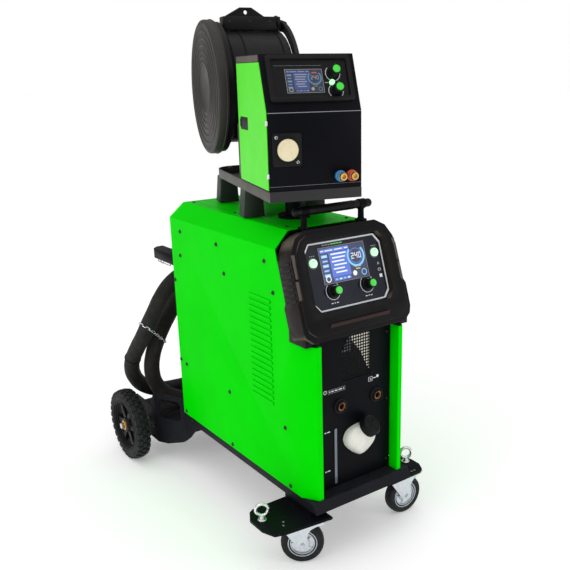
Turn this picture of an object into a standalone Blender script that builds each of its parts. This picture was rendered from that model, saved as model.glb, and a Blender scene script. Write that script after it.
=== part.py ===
"""MIG welder on a cart: power source with water cooler, front casters, rear wheels, bottle
platform, and a wire feeder that swivels on a post on top.

Metres, +Z up, the front faces -Y, the floor is z = 0 and the origin is under the middle of the
object's box. Feeder pieces are modelled in the feeder's own frame, whose Z axis is the swivel
axis, and control-panel pieces in a frame that lies in their leaning panel."""

import math

import bmesh
import bpy
from mathutils import Matrix, Vector

GAP = 0.0003  # between neighbours

# Cabinet
FOLD_Y = -0.4705  # where the sides fold in towards the front
CABINET_W = 0.340
CABINET_D = 0.690  # from the front fold to the rear panel
REAR_Y = FOLD_Y + CABINET_D
PANEL_Z = 0.2060  # lower edge of the green panels
BEVEL_Z = 0.8700  # where the sides start to lean in
TOP_Z = 0.9110
BEVEL_W = 0.050
TOP_FLANGE = 0.030
SHEET = 0.0016
FLANGE_IN = 0.027
FLANGE_OUT = 0.045
FLANGE_W = 0.014
RECESS_Y = FOLD_Y - 0.010  # the black front panel's face
LOUVRES = 18
LOUVRE_PITCH = 0.017
LOUVRE_Z = 0.4350
LOUVRE_Y = (FOLD_Y + 0.120, FOLD_Y + 0.232)

# Control panel, leaning back
PANEL_TILT = math.radians(18.4)
PANEL_CENTRE = Vector((0.0, FOLD_Y + 0.0139, 0.7996))
FASCIA_W = 0.124  # half sizes of the framed octagon
FASCIA_H = 0.0875

# Cart
BASE_Z = 0.1805
BASE_FRONT = FOLD_Y - 0.065
BASE_HALF_W = 0.1675
OUTRIGGER_Z = 0.1560
OUTRIGGER_T = 0.004
OUTRIGGER_IN = 0.118
# Each plate's corners from its inner front corner outwards: x, and y from the fold.
OUTRIGGER_CORNERS = {
    "left": [(0.118, -0.068), (0.252, -0.053), (0.286, -0.043), (0.3005, -0.004), (0.3005, 0.056),
             (0.282, 0.088), (0.268, 0.097), (0.118, 0.097)],
    "right": [(0.118, -0.034), (0.236, -0.032), (0.250, -0.024), (0.264, 0.004), (0.264, 0.040),
              (0.247, 0.074), (0.234, 0.083), (0.118, 0.083)],
}
AXLE_Y = REAR_Y + 0.195
AXLE_R = 0.010
WHEEL_R = 0.125
WHEEL_W = 0.052
WHEEL_X = 0.288
SIDE_X = 0.222  # carriage side plates beside the wheels
PLATFORM_Z = 0.150
STEEL = 0.003

# Front casters
CASTER_X = 0.190
CASTER_Y = FOLD_Y + 0.035
CASTER_R = 0.060
CASTER_W = 0.032
CASTER_TRAIL = 0.035
CASTER_HEADING = {"left": math.radians(-34), "right": math.radians(-3)}

# Feeder
PIVOT_Y = FOLD_Y + 0.250
FEEDER_TURN = math.radians(-15.9)
FRONT = -0.235  # the feeder's front face, in its own frame
FEEDER_SHIFT = Vector((-0.0163, 0.0037, 0.0))  # of the tray's middle line from the swivel axis
FEEDER_HALF_W = 0.1205
FEEDER_D = 0.258
TRAY_Z = 0.992
TRAY_H = 0.026
TRAY_D = 0.603
KINK_Z = 1.204
FEEDER_TOP = 1.337
SLANT = 0.056
DISPLAY_TILT = math.atan(SLANT / (FEEDER_TOP - KINK_Z))
FOOT_Z = TOP_Z + 0.004

# Wire spool housing
SPOOL_Y = FRONT + 0.520
SPOOL_Z = 1.2535
DRUM_R = 0.157
DRUM_X = (-0.1245, 0.078)
COVER_R = 0.187
COVER_X = -0.154
HUB_R = 0.0245
BRACKET_Z = SPOOL_Z + DRUM_R + 0.0005

# Interconnection hose between cabinet and feeder
HOSE_R = 0.027
HOSE_SPLIT_Z = 0.955
SMALL_HOSE_R = 0.0070

PARTS = None
CUTTERS = None
MATERIALS = {}


# ---------------------------------------------------------------- helpers


def start():
    """An empty scene with one collection for the parts and one for the cutters."""
    global PARTS, CUTTERS
    for obj in list(bpy.data.objects):
        bpy.data.objects.remove(obj)
    PARTS = bpy.data.collections.new("mig_welder_on_cart")
    CUTTERS = bpy.data.collections.new("cutters")
    CUTTERS.hide_render = True
    for collection in (PARTS, CUTTERS):
        bpy.context.scene.collection.children.link(collection)


def material(name, colour, roughness, metallic=0.0):
    made = bpy.data.materials.new(name)
    made.use_nodes = True
    shader = made.node_tree.nodes["Principled BSDF"]
    shader.inputs["Base Color"].default_value = (*colour, 1.0)
    shader.inputs["Roughness"].default_value = roughness
    shader.inputs["Metallic"].default_value = metallic
    MATERIALS[name] = made


def make_materials():
    material("green_paint", (0.0, 0.62, 0.005), 0.32)
    material("light_green_paint", (0.11, 0.83, 0.04), 0.3)
    material("black_paint", (0.012, 0.012, 0.016), 0.35)
    material("charcoal_paint", (0.03, 0.031, 0.038), 0.45)
    material("grey_paint", (0.13, 0.115, 0.105), 0.5)
    material("black_plastic", (0.016, 0.016, 0.018), 0.45)
    material("grey_plastic", (0.115, 0.095, 0.085), 0.5)
    material("fascia", (0.008, 0.01, 0.022), 0.12)
    material("rubber", (0.013, 0.013, 0.014), 0.75)
    material("zinc", (0.62, 0.64, 0.66), 0.32, 1.0)
    material("brass", (0.62, 0.4, 0.12), 0.28, 1.0)
    material("cream_plastic", (0.78, 0.72, 0.52), 0.4)
    material("white_plastic", (0.74, 0.73, 0.66), 0.45)
    material("green_plastic", (0.05, 0.6, 0.03), 0.35)
    material("lit_button", (0.45, 0.85, 0.5), 0.3)
    material("blue_plastic", (0.02, 0.24, 0.55), 0.35)
    material("red_plastic", (0.6, 0.05, 0.02), 0.35)
    material("aluminium", (0.7, 0.7, 0.72), 0.4, 1.0)
    material("hose_sleeve", (0.014, 0.013, 0.012), 0.85)


def shape(mesh):
    """A loose object holding this mesh, to be combined and then named by part()."""
    obj = bpy.data.objects.new("shape", mesh)
    CUTTERS.objects.link(obj)
    obj.display_type = "WIRE"
    obj.hide_render = True
    return obj


def from_bmesh(bm, turn_out=True):
    bmesh.ops.remove_doubles(bm, verts=bm.verts, dist=0.000005)
    if turn_out:
        bmesh.ops.recalc_face_normals(bm, faces=bm.faces)
    mesh = bpy.data.meshes.new("mesh")
    bm.to_mesh(mesh)
    bm.free()
    return mesh


def evaluated_mesh(obj, matrix=None, turn_out=True):
    """The object's mesh with its modifiers applied, welded and moved by the matrix."""
    graph = bpy.context.evaluated_depsgraph_get()
    mesh = bpy.data.meshes.new_from_object(obj.evaluated_get(graph))
    bm = bmesh.new()
    bm.from_mesh(mesh)
    bpy.data.meshes.remove(mesh)
    bmesh.ops.transform(bm, matrix=matrix or Matrix(), verts=bm.verts)
    return from_bmesh(bm, turn_out)


def settled(obj, matrix=None, turn_out=True):
    """Replaces a shape that has modifiers, or a curve, by its plain mesh."""
    done = shape(evaluated_mesh(obj, matrix, turn_out))
    bpy.data.objects.remove(obj)
    return done


def block(low, high):
    low = Vector(low)
    high = Vector(high)
    bm = bmesh.new()
    bmesh.ops.create_cube(bm, size=1.0)
    bmesh.ops.scale(bm, vec=high - low, verts=bm.verts)
    bmesh.ops.translate(bm, vec=(low + high) / 2, verts=bm.verts)
    return shape(from_bmesh(bm))


AXES = {
    "x": Matrix(((0, 0, 1, 0), (1, 0, 0, 0), (0, 1, 0, 0), (0, 0, 0, 1))),
    "y": Matrix(((1, 0, 0, 0), (0, 0, -1, 0), (0, 1, 0, 0), (0, 0, 0, 1))),
    "z": Matrix(),
}


def prism(outline, axis, low, high):
    """A flat outline, (y, z) for axis x, (x, z) for y and (x, y) for z, pulled along the axis."""
    curve = bpy.data.curves.new("outline", "CURVE")
    curve.dimensions = "2D"
    curve.fill_mode = "BOTH"
    curve.extrude = abs(high - low) / 2
    spline = curve.splines.new("POLY")
    spline.points.add(len(outline) - 1)
    for point, (u, v) in zip(spline.points, outline):
        point.co = (u, v, 0.0, 1.0)
    spline.use_cyclic_u = True
    obj = shape(curve)
    middle = (low + high) / 2
    along = {"x": (middle, 0, 0), "y": (0, middle, 0), "z": (0, 0, middle)}[axis]
    return settled(obj, Matrix.Translation(along) @ AXES[axis])


def turned(profile, origin=(0, 0, 0), axis=(0, 0, 1), steps=24):
    """A profile of (radius, height) points turned about the axis through the origin."""
    mesh = bpy.data.meshes.new("profile")
    edges = [(i, i + 1) for i in range(len(profile) - 1)]
    if profile[0][0] > 0:
        edges.append((len(profile) - 1, 0))
    mesh.from_pydata([(r, 0.0, h) for r, h in profile], edges, [])
    obj = shape(mesh)
    screw = obj.modifiers.new("turn", "SCREW")
    screw.steps = steps
    screw.render_steps = steps
    screw.use_merge_vertices = True
    screw.merge_threshold = 0.00001
    turn = Vector((0, 0, 1)).rotation_difference(Vector(axis)).to_matrix().to_4x4()
    return settled(obj, Matrix.Translation(Vector(origin)) @ turn)


def cylinder(radius, low, high, origin=(0, 0, 0), axis=(0, 0, 1), steps=24):
    return turned([(0, high), (radius, high), (radius, low), (0, low)], origin, axis, steps)


def tube(points, radius, resolution=2):
    curve = bpy.data.curves.new("tube", "CURVE")
    curve.dimensions = "3D"
    curve.bevel_depth = radius
    curve.bevel_resolution = resolution
    curve.use_fill_caps = True
    spline = curve.splines.new("POLY")
    spline.points.add(len(points) - 1)
    for point, co in zip(spline.points, points):
        point.co = (*co, 1.0)
    return settled(shape(curve))


def folded(section, axis, low, high, thickness):
    """A bent sheet: a section polyline pulled along the axis, given its thickness inwards."""
    bm = bmesh.new()
    rows = []
    for value in (low, high):
        row = []
        for u, v in section:
            co = {"x": (value, u, v), "y": (u, value, v), "z": (u, v, value)}[axis]
            row.append(bm.verts.new(co))
        rows.append(row)
    for i in range(len(section) - 1):
        bm.faces.new((rows[0][i], rows[0][i + 1], rows[1][i + 1], rows[1][i]))
    mesh = bpy.data.meshes.new("sheet")
    bm.to_mesh(mesh)
    bm.free()
    obj = shape(mesh)
    solidify = obj.modifiers.new("thickness", "SOLIDIFY")
    solidify.thickness = thickness
    solidify.offset = -1
    solidify.use_even_offset = True
    return settled(obj)


def combined(target, other, operation):
    boolean = target.modifiers.new("join", "BOOLEAN")
    boolean.operation = operation
    boolean.object = other
    boolean.solver = "EXACT"
    done = settled(target, turn_out=False)  # a cavity's faces point into it
    bpy.data.objects.remove(other)
    return done


def joined(first, *others):
    for other in others:
        first = combined(first, other, "UNION")
    return first


def without(first, *others):
    for other in others:
        first = combined(first, other, "DIFFERENCE")
    return first


def moved(obj, matrix):
    obj.data.transform(matrix)
    if matrix.determinant() < 0:
        obj.data.flip_normals()
    return obj


def mirrored(obj):
    """The same shape on the other side of the middle plane, in place of this one."""
    return moved(obj, Matrix.Scale(-1, 4, (1, 0, 0)))


def part(name, obj, slot, origin=(0, 0, 0), parent=None, smooth=False):
    """Names a shape as one of the object's pieces, with its origin where it turns or slides."""
    origin = Vector(origin)
    mesh = obj.data
    mesh.transform(Matrix.Translation(-origin))
    mesh.materials.clear()
    mesh.materials.append(MATERIALS[slot])
    if smooth:
        mesh.shade_smooth()
        mesh.set_sharp_from_angle(angle=math.radians(35))
    mesh.name = name
    piece = bpy.data.objects.new(name, mesh)
    piece.location = origin
    piece.parent = parent
    PARTS.objects.link(piece)
    bpy.data.objects.remove(obj)
    return piece


def frame_at(name, location, rotation, parent=None):
    empty = bpy.data.objects.new(name, None)
    empty.empty_display_size = 0.05
    empty.location = location
    empty.rotation_euler = rotation
    empty.parent = parent
    PARTS.objects.link(empty)
    return empty


def sides():
    """Each side's name and the sign of its x."""
    return (("left", -1), ("right", 1))


def rounded(half_w, half_h, corner, steps=3, centre=(0.0, 0.0)):
    """A rectangle with round corners, anticlockwise."""
    points = []
    for sx, sy, first in ((1, 1, 0), (-1, 1, 90), (-1, -1, 180), (1, -1, 270)):
        for i in range(steps + 1):
            angle = math.radians(first + 90 * i / steps)
            x = sx * (half_w - corner) + corner * math.cos(angle)
            y = sy * (half_h - corner) + corner * math.sin(angle)
            points.append((centre[0] + x, centre[1] + y))
    return points


def smooth_route(route, count):
    """Points along a Catmull-Rom curve through the route, whose first and last steps are straight."""
    route = [Vector(p) for p in route]
    fine = []
    for i in range(len(route) - 3):
        a, b, c, d = route[i : i + 4]
        for k in range(20):
            t = k / 20
            point = 2 * b + (c - a) * t + (2 * a - 5 * b + 4 * c - d) * t * t
            fine.append((point + (3 * b - a - 3 * c + d) * t**3) / 2)
    fine.append(route[-2])
    lengths = [0.0]
    for a, b in zip(fine, fine[1:]):
        lengths.append(lengths[-1] + (b - a).length)
    points = [route[0]]
    k = 0
    for i in range(count - 2):
        wanted = lengths[-1] * i / (count - 3)
        while k < len(fine) - 2 and lengths[k + 1] < wanted:
            k += 1
        share = (wanted - lengths[k]) / max(lengths[k + 1] - lengths[k], 1e-9)
        points.append(fine[k].lerp(fine[k + 1], min(share, 1.0)))
    return points + [route[-1]]


# ---------------------------------------------------------------- cart


def chassis_frame():
    """The folded base under the cabinet and the rear carriage that carries the gas bottle."""
    front = [
        (FOLD_Y - 0.050, PANEL_Z - GAP),
        (BASE_FRONT, BASE_Z),
        (REAR_Y + 0.010, BASE_Z),
        (REAR_Y + 0.010, PANEL_Z - GAP),
    ]
    base = prism(front, "x", -BASE_HALF_W, BASE_HALF_W)
    inner_x = BASE_HALF_W - STEEL
    hollow = block(
        (-inner_x, BASE_FRONT + 0.022, BASE_Z - 0.01),
        (inner_x, REAR_Y + 0.010 - STEEL, PANEL_Z - GAP - STEEL),
    )
    base = without(base, hollow)
    low_z = 0.062
    high_z = 0.250
    outline = [
        (REAR_Y - 0.130, 0.185),
        (REAR_Y - 0.080, 0.172),
        (REAR_Y - 0.030, 0.122),
        (REAR_Y + 0.020, 0.085),
        (REAR_Y + 0.080, 0.066),
        (REAR_Y + 0.220, 0.066),
        (REAR_Y + 0.305, 0.090),
        (REAR_Y + 0.305, 0.165),
        (REAR_Y + 0.280, 0.192),
        (REAR_Y + 0.165, 0.192),
        (REAR_Y + 0.125, high_z),
        (REAR_Y + 0.0015, high_z),
        (REAR_Y + 0.0015, PANEL_Z - 0.002),
        (REAR_Y - 0.130, PANEL_Z - 0.002),
    ]
    for sign in (-1, 1):
        plan = [
            (-BASE_HALF_W, REAR_Y - 0.14),
            (-BASE_HALF_W, REAR_Y + 0.010),
            (-SIDE_X, REAR_Y + 0.115),
            (-SIDE_X, REAR_Y + 0.320),
        ]
        wall = folded(plan, "z", low_z, high_z + 0.01, -STEEL)
        wall = combined(wall, prism(outline, "x", -0.3, 0.0), "INTERSECT")
        window = prism(rounded(0.044, 0.036, 0.014), "y", -0.03, 0.03)
        lean = math.atan2(0.105, -(SIDE_X - BASE_HALF_W))
        centre = (-(SIDE_X + BASE_HALF_W) / 2, REAR_Y + 0.0625, 0.196)
        moved(window, Matrix.Translation(centre) @ Matrix.Rotation(lean, 4, "Z"))
        hole = cylinder(AXLE_R + 0.0005, -0.3, 0.0, (0, AXLE_Y, WHEEL_R), (1, 0, 0), 16)
        wall = without(wall, window, hole)
        base = joined(base, mirrored(wall) if sign > 0 else wall)
    floor = [
        (-BASE_HALF_W + 0.001, REAR_Y - 0.05),
        (BASE_HALF_W - 0.001, REAR_Y - 0.05),
        (BASE_HALF_W - 0.001, REAR_Y + 0.010),
        (SIDE_X - 0.001, REAR_Y + 0.115),
        (SIDE_X - 0.001, REAR_Y + 0.304),
        (-SIDE_X + 0.001, REAR_Y + 0.304),
        (-SIDE_X + 0.001, REAR_Y + 0.115),
        (-BASE_HALF_W + 0.001, REAR_Y + 0.010),
    ]
    platform = prism(floor, "z", PLATFORM_Z - STEEL, PLATFORM_Z)
    base = joined(base, platform)
    part("chassis_frame", base, "charcoal_paint")


def outriggers():
    """A chamfered plate on a riser under each front corner, which carries a caster."""
    for side, sign in sides():
        outline = [(x, FOLD_Y + y) for x, y in OUTRIGGER_CORNERS[side]]
        plate = prism(outline, "z", OUTRIGGER_Z, OUTRIGGER_Z + OUTRIGGER_T)
        riser = block(
            (OUTRIGGER_IN, outline[0][1] + 0.010, OUTRIGGER_Z + OUTRIGGER_T - 0.001),
            (BASE_HALF_W - 0.001, outline[-1][1] - 0.010, BASE_Z - GAP),
        )
        plate = joined(plate, riser)
        if sign < 0:
            plate = mirrored(plate)
        part("outrigger_" + side, plate, "black_paint")


def rear_wheels():
    """A through axle with a pneumatic tyre on a spoked rim at each end."""
    axle = cylinder(AXLE_R, -WHEEL_X - 0.034, WHEEL_X + 0.034, (0, AXLE_Y, WHEEL_R), (1, 0, 0), 16)
    part("rear_axle", axle, "zinc")
    rim_r = 0.068
    half = WHEEL_W / 2
    tyre = [
        (rim_r, 0.020),
        (0.082, 0.024),
        (0.104, half),
        (0.119, 0.023),
        (WHEEL_R, 0.014),
        (WHEEL_R, -0.014),
        (0.119, -0.023),
        (0.104, -half),
        (0.082, -0.024),
        (rim_r, -0.020),
    ]
    bore = AXLE_R + 0.0005
    rim = [
        (bore, 0.024),
        (0.024, 0.024),
        (0.026, 0.010),
        (0.052, 0.008),
        (0.060, 0.021),
        (rim_r - GAP, 0.021),
        (rim_r - GAP, -0.021),
        (0.060, -0.021),
        (0.052, -0.008),
        (0.026, -0.010),
        (0.024, -0.024),
        (bore, -0.024),
    ]
    for side, sign in sides():
        centre = (sign * WHEEL_X, AXLE_Y, WHEEL_R)
        made = turned(tyre, centre, (1, 0, 0), 40)
        part("rear_tyre_" + side, made, "rubber", centre, smooth=True)
        made = turned(rim, centre, (1, 0, 0), 24)
        part("rear_rim_" + side, made, "black_plastic", centre, smooth=True)


def casters():
    """A swivelling zinc fork on each outrigger, with a rubber wheel that trails the swivel."""
    top = OUTRIGGER_Z - GAP
    hub_z = CASTER_R
    arm_x = CASTER_W / 2 + 0.004
    for side, sign in sides():
        at = Vector((sign * CASTER_X, CASTER_Y, 0.0))
        turn = CASTER_HEADING[side]
        frame = frame_at("caster_swivel_" + side, at, (0, 0, turn))
        # In this frame the wheel trails towards +X and its axle lies along Y.
        race = turned(
            [(0, top), (0.030, top), (0.030, top - 0.012), (0.024, top - 0.018), (0, top - 0.018)],
            steps=20,
        )
        crown = block((-0.030, -arm_x - 0.003, top - 0.028), (0.036, arm_x + 0.003, top - 0.015))
        fork = joined(race, crown)
        arm = [
            (-0.028, top - 0.016),
            (0.034, top - 0.016),
            (CASTER_TRAIL + 0.014, hub_z),
            (CASTER_TRAIL + 0.009, hub_z - 0.012),
            (CASTER_TRAIL - 0.009, hub_z - 0.012),
            (CASTER_TRAIL - 0.014, hub_z),
        ]
        for lower in (-arm_x - 0.003, arm_x):
            fork = joined(fork, prism(arm, "y", lower, lower + 0.003))
        centre = (CASTER_TRAIL, 0, hub_z)
        pin_half = arm_x + 0.008
        fork = joined(fork, cylinder(0.005, -pin_half, pin_half, centre, (0, 1, 0), 12))
        part("caster_fork_" + side, fork, "zinc", parent=frame)
        half = CASTER_W / 2
        rim_r = 0.041
        tyre = [
            (rim_r, half - 0.004),
            (0.050, half),
            (0.056, half - 0.001),
            (CASTER_R, half - 0.007),
            (CASTER_R, -half + 0.007),
            (0.056, -half + 0.001),
            (0.050, -half),
            (rim_r, -half + 0.004),
        ]
        made = turned(tyre, centre, (0, 1, 0), 32)
        part("caster_tyre_" + side, made, "rubber", centre, frame, True)
        rim = [
            (0.0055, half),
            (0.014, half),
            (0.018, 0.006),
            (0.034, 0.005),
            (0.037, half - 0.003),
            (rim_r - GAP, half - 0.003),
            (rim_r - GAP, -half + 0.003),
            (0.037, -half + 0.003),
            (0.034, -0.005),
            (0.018, -0.006),
            (0.014, -half),
            (0.0055, -half),
        ]
        made = turned(rim, centre, (0, 1, 0), 24)
        part("caster_rim_" + side, made, "zinc", centre, frame, True)


def bottle_cradle():
    """The upper bracket behind the cabinet, open to the rear, that steadies a gas bottle."""
    reach = REAR_Y + 0.195
    bottle_y = REAR_Y + 0.150
    bottle_r = 0.112
    outline = [
        (-0.125, REAR_Y + 0.002),
        (0.125, REAR_Y + 0.002),
        (0.155, REAR_Y + 0.030),
        (0.155, reach - 0.020),
        (0.135, reach),
        (-0.135, reach),
        (-0.155, reach - 0.020),
        (-0.155, REAR_Y + 0.030),
    ]
    plate = prism(outline, "z", 0.706, 0.738)
    pocket = cylinder(bottle_r, 0.70, 0.75, (0, bottle_y, 0), (0, 0, 1), 32)
    mouth = block((-bottle_r, bottle_y, 0.70), (bottle_r, reach + 0.01, 0.75))
    under = prism(
        [(x * 0.965, REAR_Y + 0.004 + (y - REAR_Y - 0.004) * 0.975) for x, y in outline],
        "z",
        0.70,
        0.735,
    )
    ring = cylinder(bottle_r + 0.003, 0.69, 0.76, (0, bottle_y, 0), (0, 0, 1), 32)
    collar = block(
        (-bottle_r - 0.003, bottle_y - 0.001, 0.69), (bottle_r + 0.003, reach + 0.01, 0.76)
    )
    under = without(under, ring, collar)
    plate = without(plate, under, pocket, mouth)
    part("bottle_cradle", plate, "black_paint")


# ---------------------------------------------------------------- cabinet


def side_panels():
    """Folded green sides: top bevel, louvres, and a front edge folded round the recess."""
    half = CABINET_W / 2
    bezel_back = [
        (FOLD_Y - 0.10, 1.0),
        (FOLD_Y + 0.140, 1.0),
        (FOLD_Y + 0.1065, TOP_Z + 0.0055),
        (FOLD_Y + 0.0915, BEVEL_Z),
        (FOLD_Y + 0.0385, 0.698),
        (FOLD_Y + 0.0385, 0.6385),
        (FOLD_Y - 0.10, 0.6385),
    ]
    for side, sign in sides():
        section = [
            (-half, PANEL_Z),
            (-half, BEVEL_Z),
            (-half + BEVEL_W, TOP_Z),
            (-half + BEVEL_W + TOP_FLANGE, TOP_Z),
        ]
        wall = folded(section, "y", FOLD_Y, REAR_Y, SHEET)
        wall = without(wall, prism(bezel_back, "x", -0.2, 0.0))
        edge = [
            (-half, FOLD_Y + 0.010),
            (-half, FOLD_Y),
            (-half + FLANGE_IN, FOLD_Y - FLANGE_OUT),
            (-half + FLANGE_IN + FLANGE_W, FOLD_Y - FLANGE_OUT),
            (-half + FLANGE_IN + FLANGE_W, RECESS_Y - 0.002),
        ]
        wall = joined(wall, folded(edge, "z", PANEL_Z, 0.6385, SHEET))
        for i in range(LOUVRES):
            z = LOUVRE_Z + i * LOUVRE_PITCH
            slot = block((-half - 0.01, LOUVRE_Y[0], z - 0.003), (-half + 0.01, LOUVRE_Y[1], z + 0.003))
            wall = without(wall, slot)
        if sign > 0:
            wall = mirrored(wall)
        part("side_panel_" + side, wall, "green_paint")


def cabinet_shell():
    """Top cover, rear panel with its fan opening and hose gland, and the recessed front panel."""
    half = CABINET_W / 2 - BEVEL_W - TOP_FLANGE - GAP
    top = block((-half, FOLD_Y + 0.108, TOP_Z - SHEET), (half, REAR_Y, TOP_Z))
    part("top_cover", top, "green_paint")
    inner = CABINET_W / 2 - SHEET - GAP
    outline = [
        (-inner, PANEL_Z),
        (inner, PANEL_Z),
        (inner, BEVEL_Z - 0.001),
        (inner - BEVEL_W + 0.0005, TOP_Z - SHEET - GAP - 0.0005),
        (-inner + BEVEL_W - 0.0005, TOP_Z - SHEET - GAP - 0.0005),
        (-inner, BEVEL_Z - 0.001),
    ]
    rear = prism(outline, "y", REAR_Y - 0.004, REAR_Y - 0.002)
    fan_hole = cylinder(0.070, -0.02, 0.02, (0, REAR_Y, 0.470), (0, 1, 0), 32)
    rear = without(rear, fan_hole)
    for i in range(-4, 5):
        x = i * 0.0155
        bar = block((x - 0.002, REAR_Y - 0.004, 0.396), (x + 0.002, REAR_Y - 0.002, 0.544))
        rear = joined(rear, bar)
    gland = [(0, 0.026), (0.030, 0.026), (0.034, 0.012), (0.040, 0.010), (0.040, 0.0), (0, 0.0)]
    made = turned(gland, (HOSE_START[0], REAR_Y - 0.004, HOSE_START[2]), (0, 1, 0), 24)
    part("rear_panel", joined(rear, made), "black_paint")
    edge = CABINET_W / 2 - FLANGE_IN - FLANGE_W - GAP
    front = block((-edge, RECESS_Y, PANEL_Z + GAP), (edge, RECESS_Y + SHEET, 0.6375))
    for x in DINSE_X:
        front = without(front, cylinder(0.0165, -0.02, 0.02, (x, RECESS_Y, DINSE_Z), (0, 1, 0), 24))
    part("front_panel", front, "black_paint")


DINSE_X = (-0.045, 0.080)
DINSE_Z = 0.4425


def output_sockets():
    """Two welding-current sockets, each with a recess in its raised collar."""
    for name, x in zip(("output_socket_left", "output_socket_right"), DINSE_X):
        profile = [
            (0, 0.009),
            (0.0065, 0.009),
            (0.0065, 0.012),
            (0.0125, 0.012),
            (0.0125, 0.006),
            (0.022, 0.004),
            (0.022, GAP),
            (0.016, GAP),
            (0.016, -0.030),
            (0, -0.030),
        ]
        made = turned(profile, (x, RECESS_Y, DINSE_Z), (0, -1, 0), 24)
        part(name, made, "brass", smooth=True)


def coolant_filler():
    """The off-white neck that leans out of the front panel, and its black screw cap."""
    axis = Vector((0.32, -0.70, 0.64)).normalized()
    base = Vector((0.018, RECESS_Y - GAP, 0.345))
    profile = [
        (0.014, 0.036),
        (0.026, 0.036),
        (0.030, 0.028),
        (0.046, 0.012),
        (0.049, 0.004),
        (0.049, -0.070),
        (0.014, -0.070),
    ]
    neck = turned(profile, base, axis, 28)
    behind = block((-0.1, RECESS_Y - GAP, 0.1), (0.15, RECESS_Y + 0.2, 0.5))
    neck = without(neck, behind)
    part("coolant_filler_neck", neck, "white_plastic", smooth=True)
    top = base + axis * (0.036 + GAP)
    cap = turned(
        [(0, 0.022), (0.024, 0.022), (0.028, 0.019), (0.030, 0.014), (0.030, 0.0), (0, 0.0)],
        top,
        axis,
        28,
    )
    part("coolant_cap", cap, "black_plastic", top, smooth=True)


def top_handle():
    """The low tubular handle across the front of the cabinet's top."""
    y = FOLD_Y + 0.085
    z = TOP_Z + 0.046
    handle = cylinder(0.0115, -0.117, 0.138, (0, y, z), (1, 0, 0), 16)
    for x in (-0.083, 0.104):
        post = prism(
            [
                (x - 0.017, TOP_Z + GAP),
                (x + 0.017, TOP_Z + GAP),
                (x + 0.009, z),
                (x - 0.009, z),
            ],
            "y",
            y - 0.008,
            y + 0.008,
        )
        foot = block((x - 0.024, y - 0.016, TOP_Z + GAP), (x + 0.024, y + 0.016, TOP_Z + 0.005))
        handle = joined(handle, post, foot)
    part("top_handle", handle, "black_paint", smooth=True)


def swivel_post():
    """The post that the feeder turns on."""
    profile = [
        (0, TRAY_Z - GAP),
        (0.025, TRAY_Z - GAP),
        (0.025, TOP_Z + 0.008),
        (0.045, TOP_Z + 0.008),
        (0.045, TOP_Z + GAP),
        (0, TOP_Z + GAP),
    ]
    part("swivel_post", turned(profile, (0, PIVOT_Y, 0)), "black_paint", smooth=True)


def inside_cabinet():
    """Power module on its heat sink, coolant tank, and the cooling fan behind the rear panel."""
    sink = block((-0.11, FOLD_Y + 0.20, 0.60), (0.11, FOLD_Y + 0.52, 0.625))
    for i in range(9):
        x = -0.106 + i * 0.0265
        fin = block((x - 0.002, FOLD_Y + 0.20, 0.545), (x + 0.002, FOLD_Y + 0.52, 0.601))
        sink = joined(sink, fin)
    boards = block((-0.09, FOLD_Y + 0.24, 0.6245), (0.09, FOLD_Y + 0.48, 0.70))
    part("inverter_module", joined(sink, boards), "aluminium")
    tank = block((-0.12, FOLD_Y + 0.03, PANEL_Z + 0.004), (0.12, FOLD_Y + 0.26, 0.40))
    room = block((-0.115, FOLD_Y + 0.035, PANEL_Z + 0.009), (0.115, FOLD_Y + 0.255, 0.395))
    inlet = cylinder(0.022, 0.39, 0.41, (0.02, FOLD_Y + 0.10, 0), (0, 0, 1), 20)
    part("coolant_tank", without(tank, room, inlet), "white_plastic")
    centre = Vector((0, REAR_Y - 0.030, 0.470))
    fan = cylinder(0.022, -0.012, 0.012, centre, (0, 1, 0), 20)
    for i in range(7):
        blade = block((-0.011, -0.0015, 0.018), (0.011, 0.0015, 0.064))
        turn = Matrix.Rotation(math.radians(360 / 7 * i), 4, "Y") @ Matrix.Rotation(0.6, 4, "Z")
        fan = joined(fan, moved(blade, Matrix.Translation(centre) @ turn))
    part("cooling_fan", fan, "black_plastic", centre)


def rear_fittings():
    """Mains switch and the mains cable's gland."""
    switch_at = Vector((0.105, REAR_Y - 0.002 + GAP, 0.800))
    knob = cylinder(0.020, 0, 0.010, switch_at, (0, 1, 0), 20)
    grip = block(
        switch_at + Vector((-0.005, 0.009, -0.019)), switch_at + Vector((0.005, 0.024, 0.019))
    )
    part("mains_switch", joined(knob, grip), "black_plastic", switch_at)
    gland = [
        (0, 0.034),
        (0.009, 0.034),
        (0.014, 0.018),
        (0.016, 0.016),
        (0.016, 0.0),
        (0, 0.0),
    ]
    made = turned(gland, (0.105, REAR_Y - 0.002 + GAP, 0.300), (0, 1, 0), 16)
    part("mains_gland", made, "black_plastic", smooth=True)


# ---------------------------------------------------------------- control panel


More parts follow.
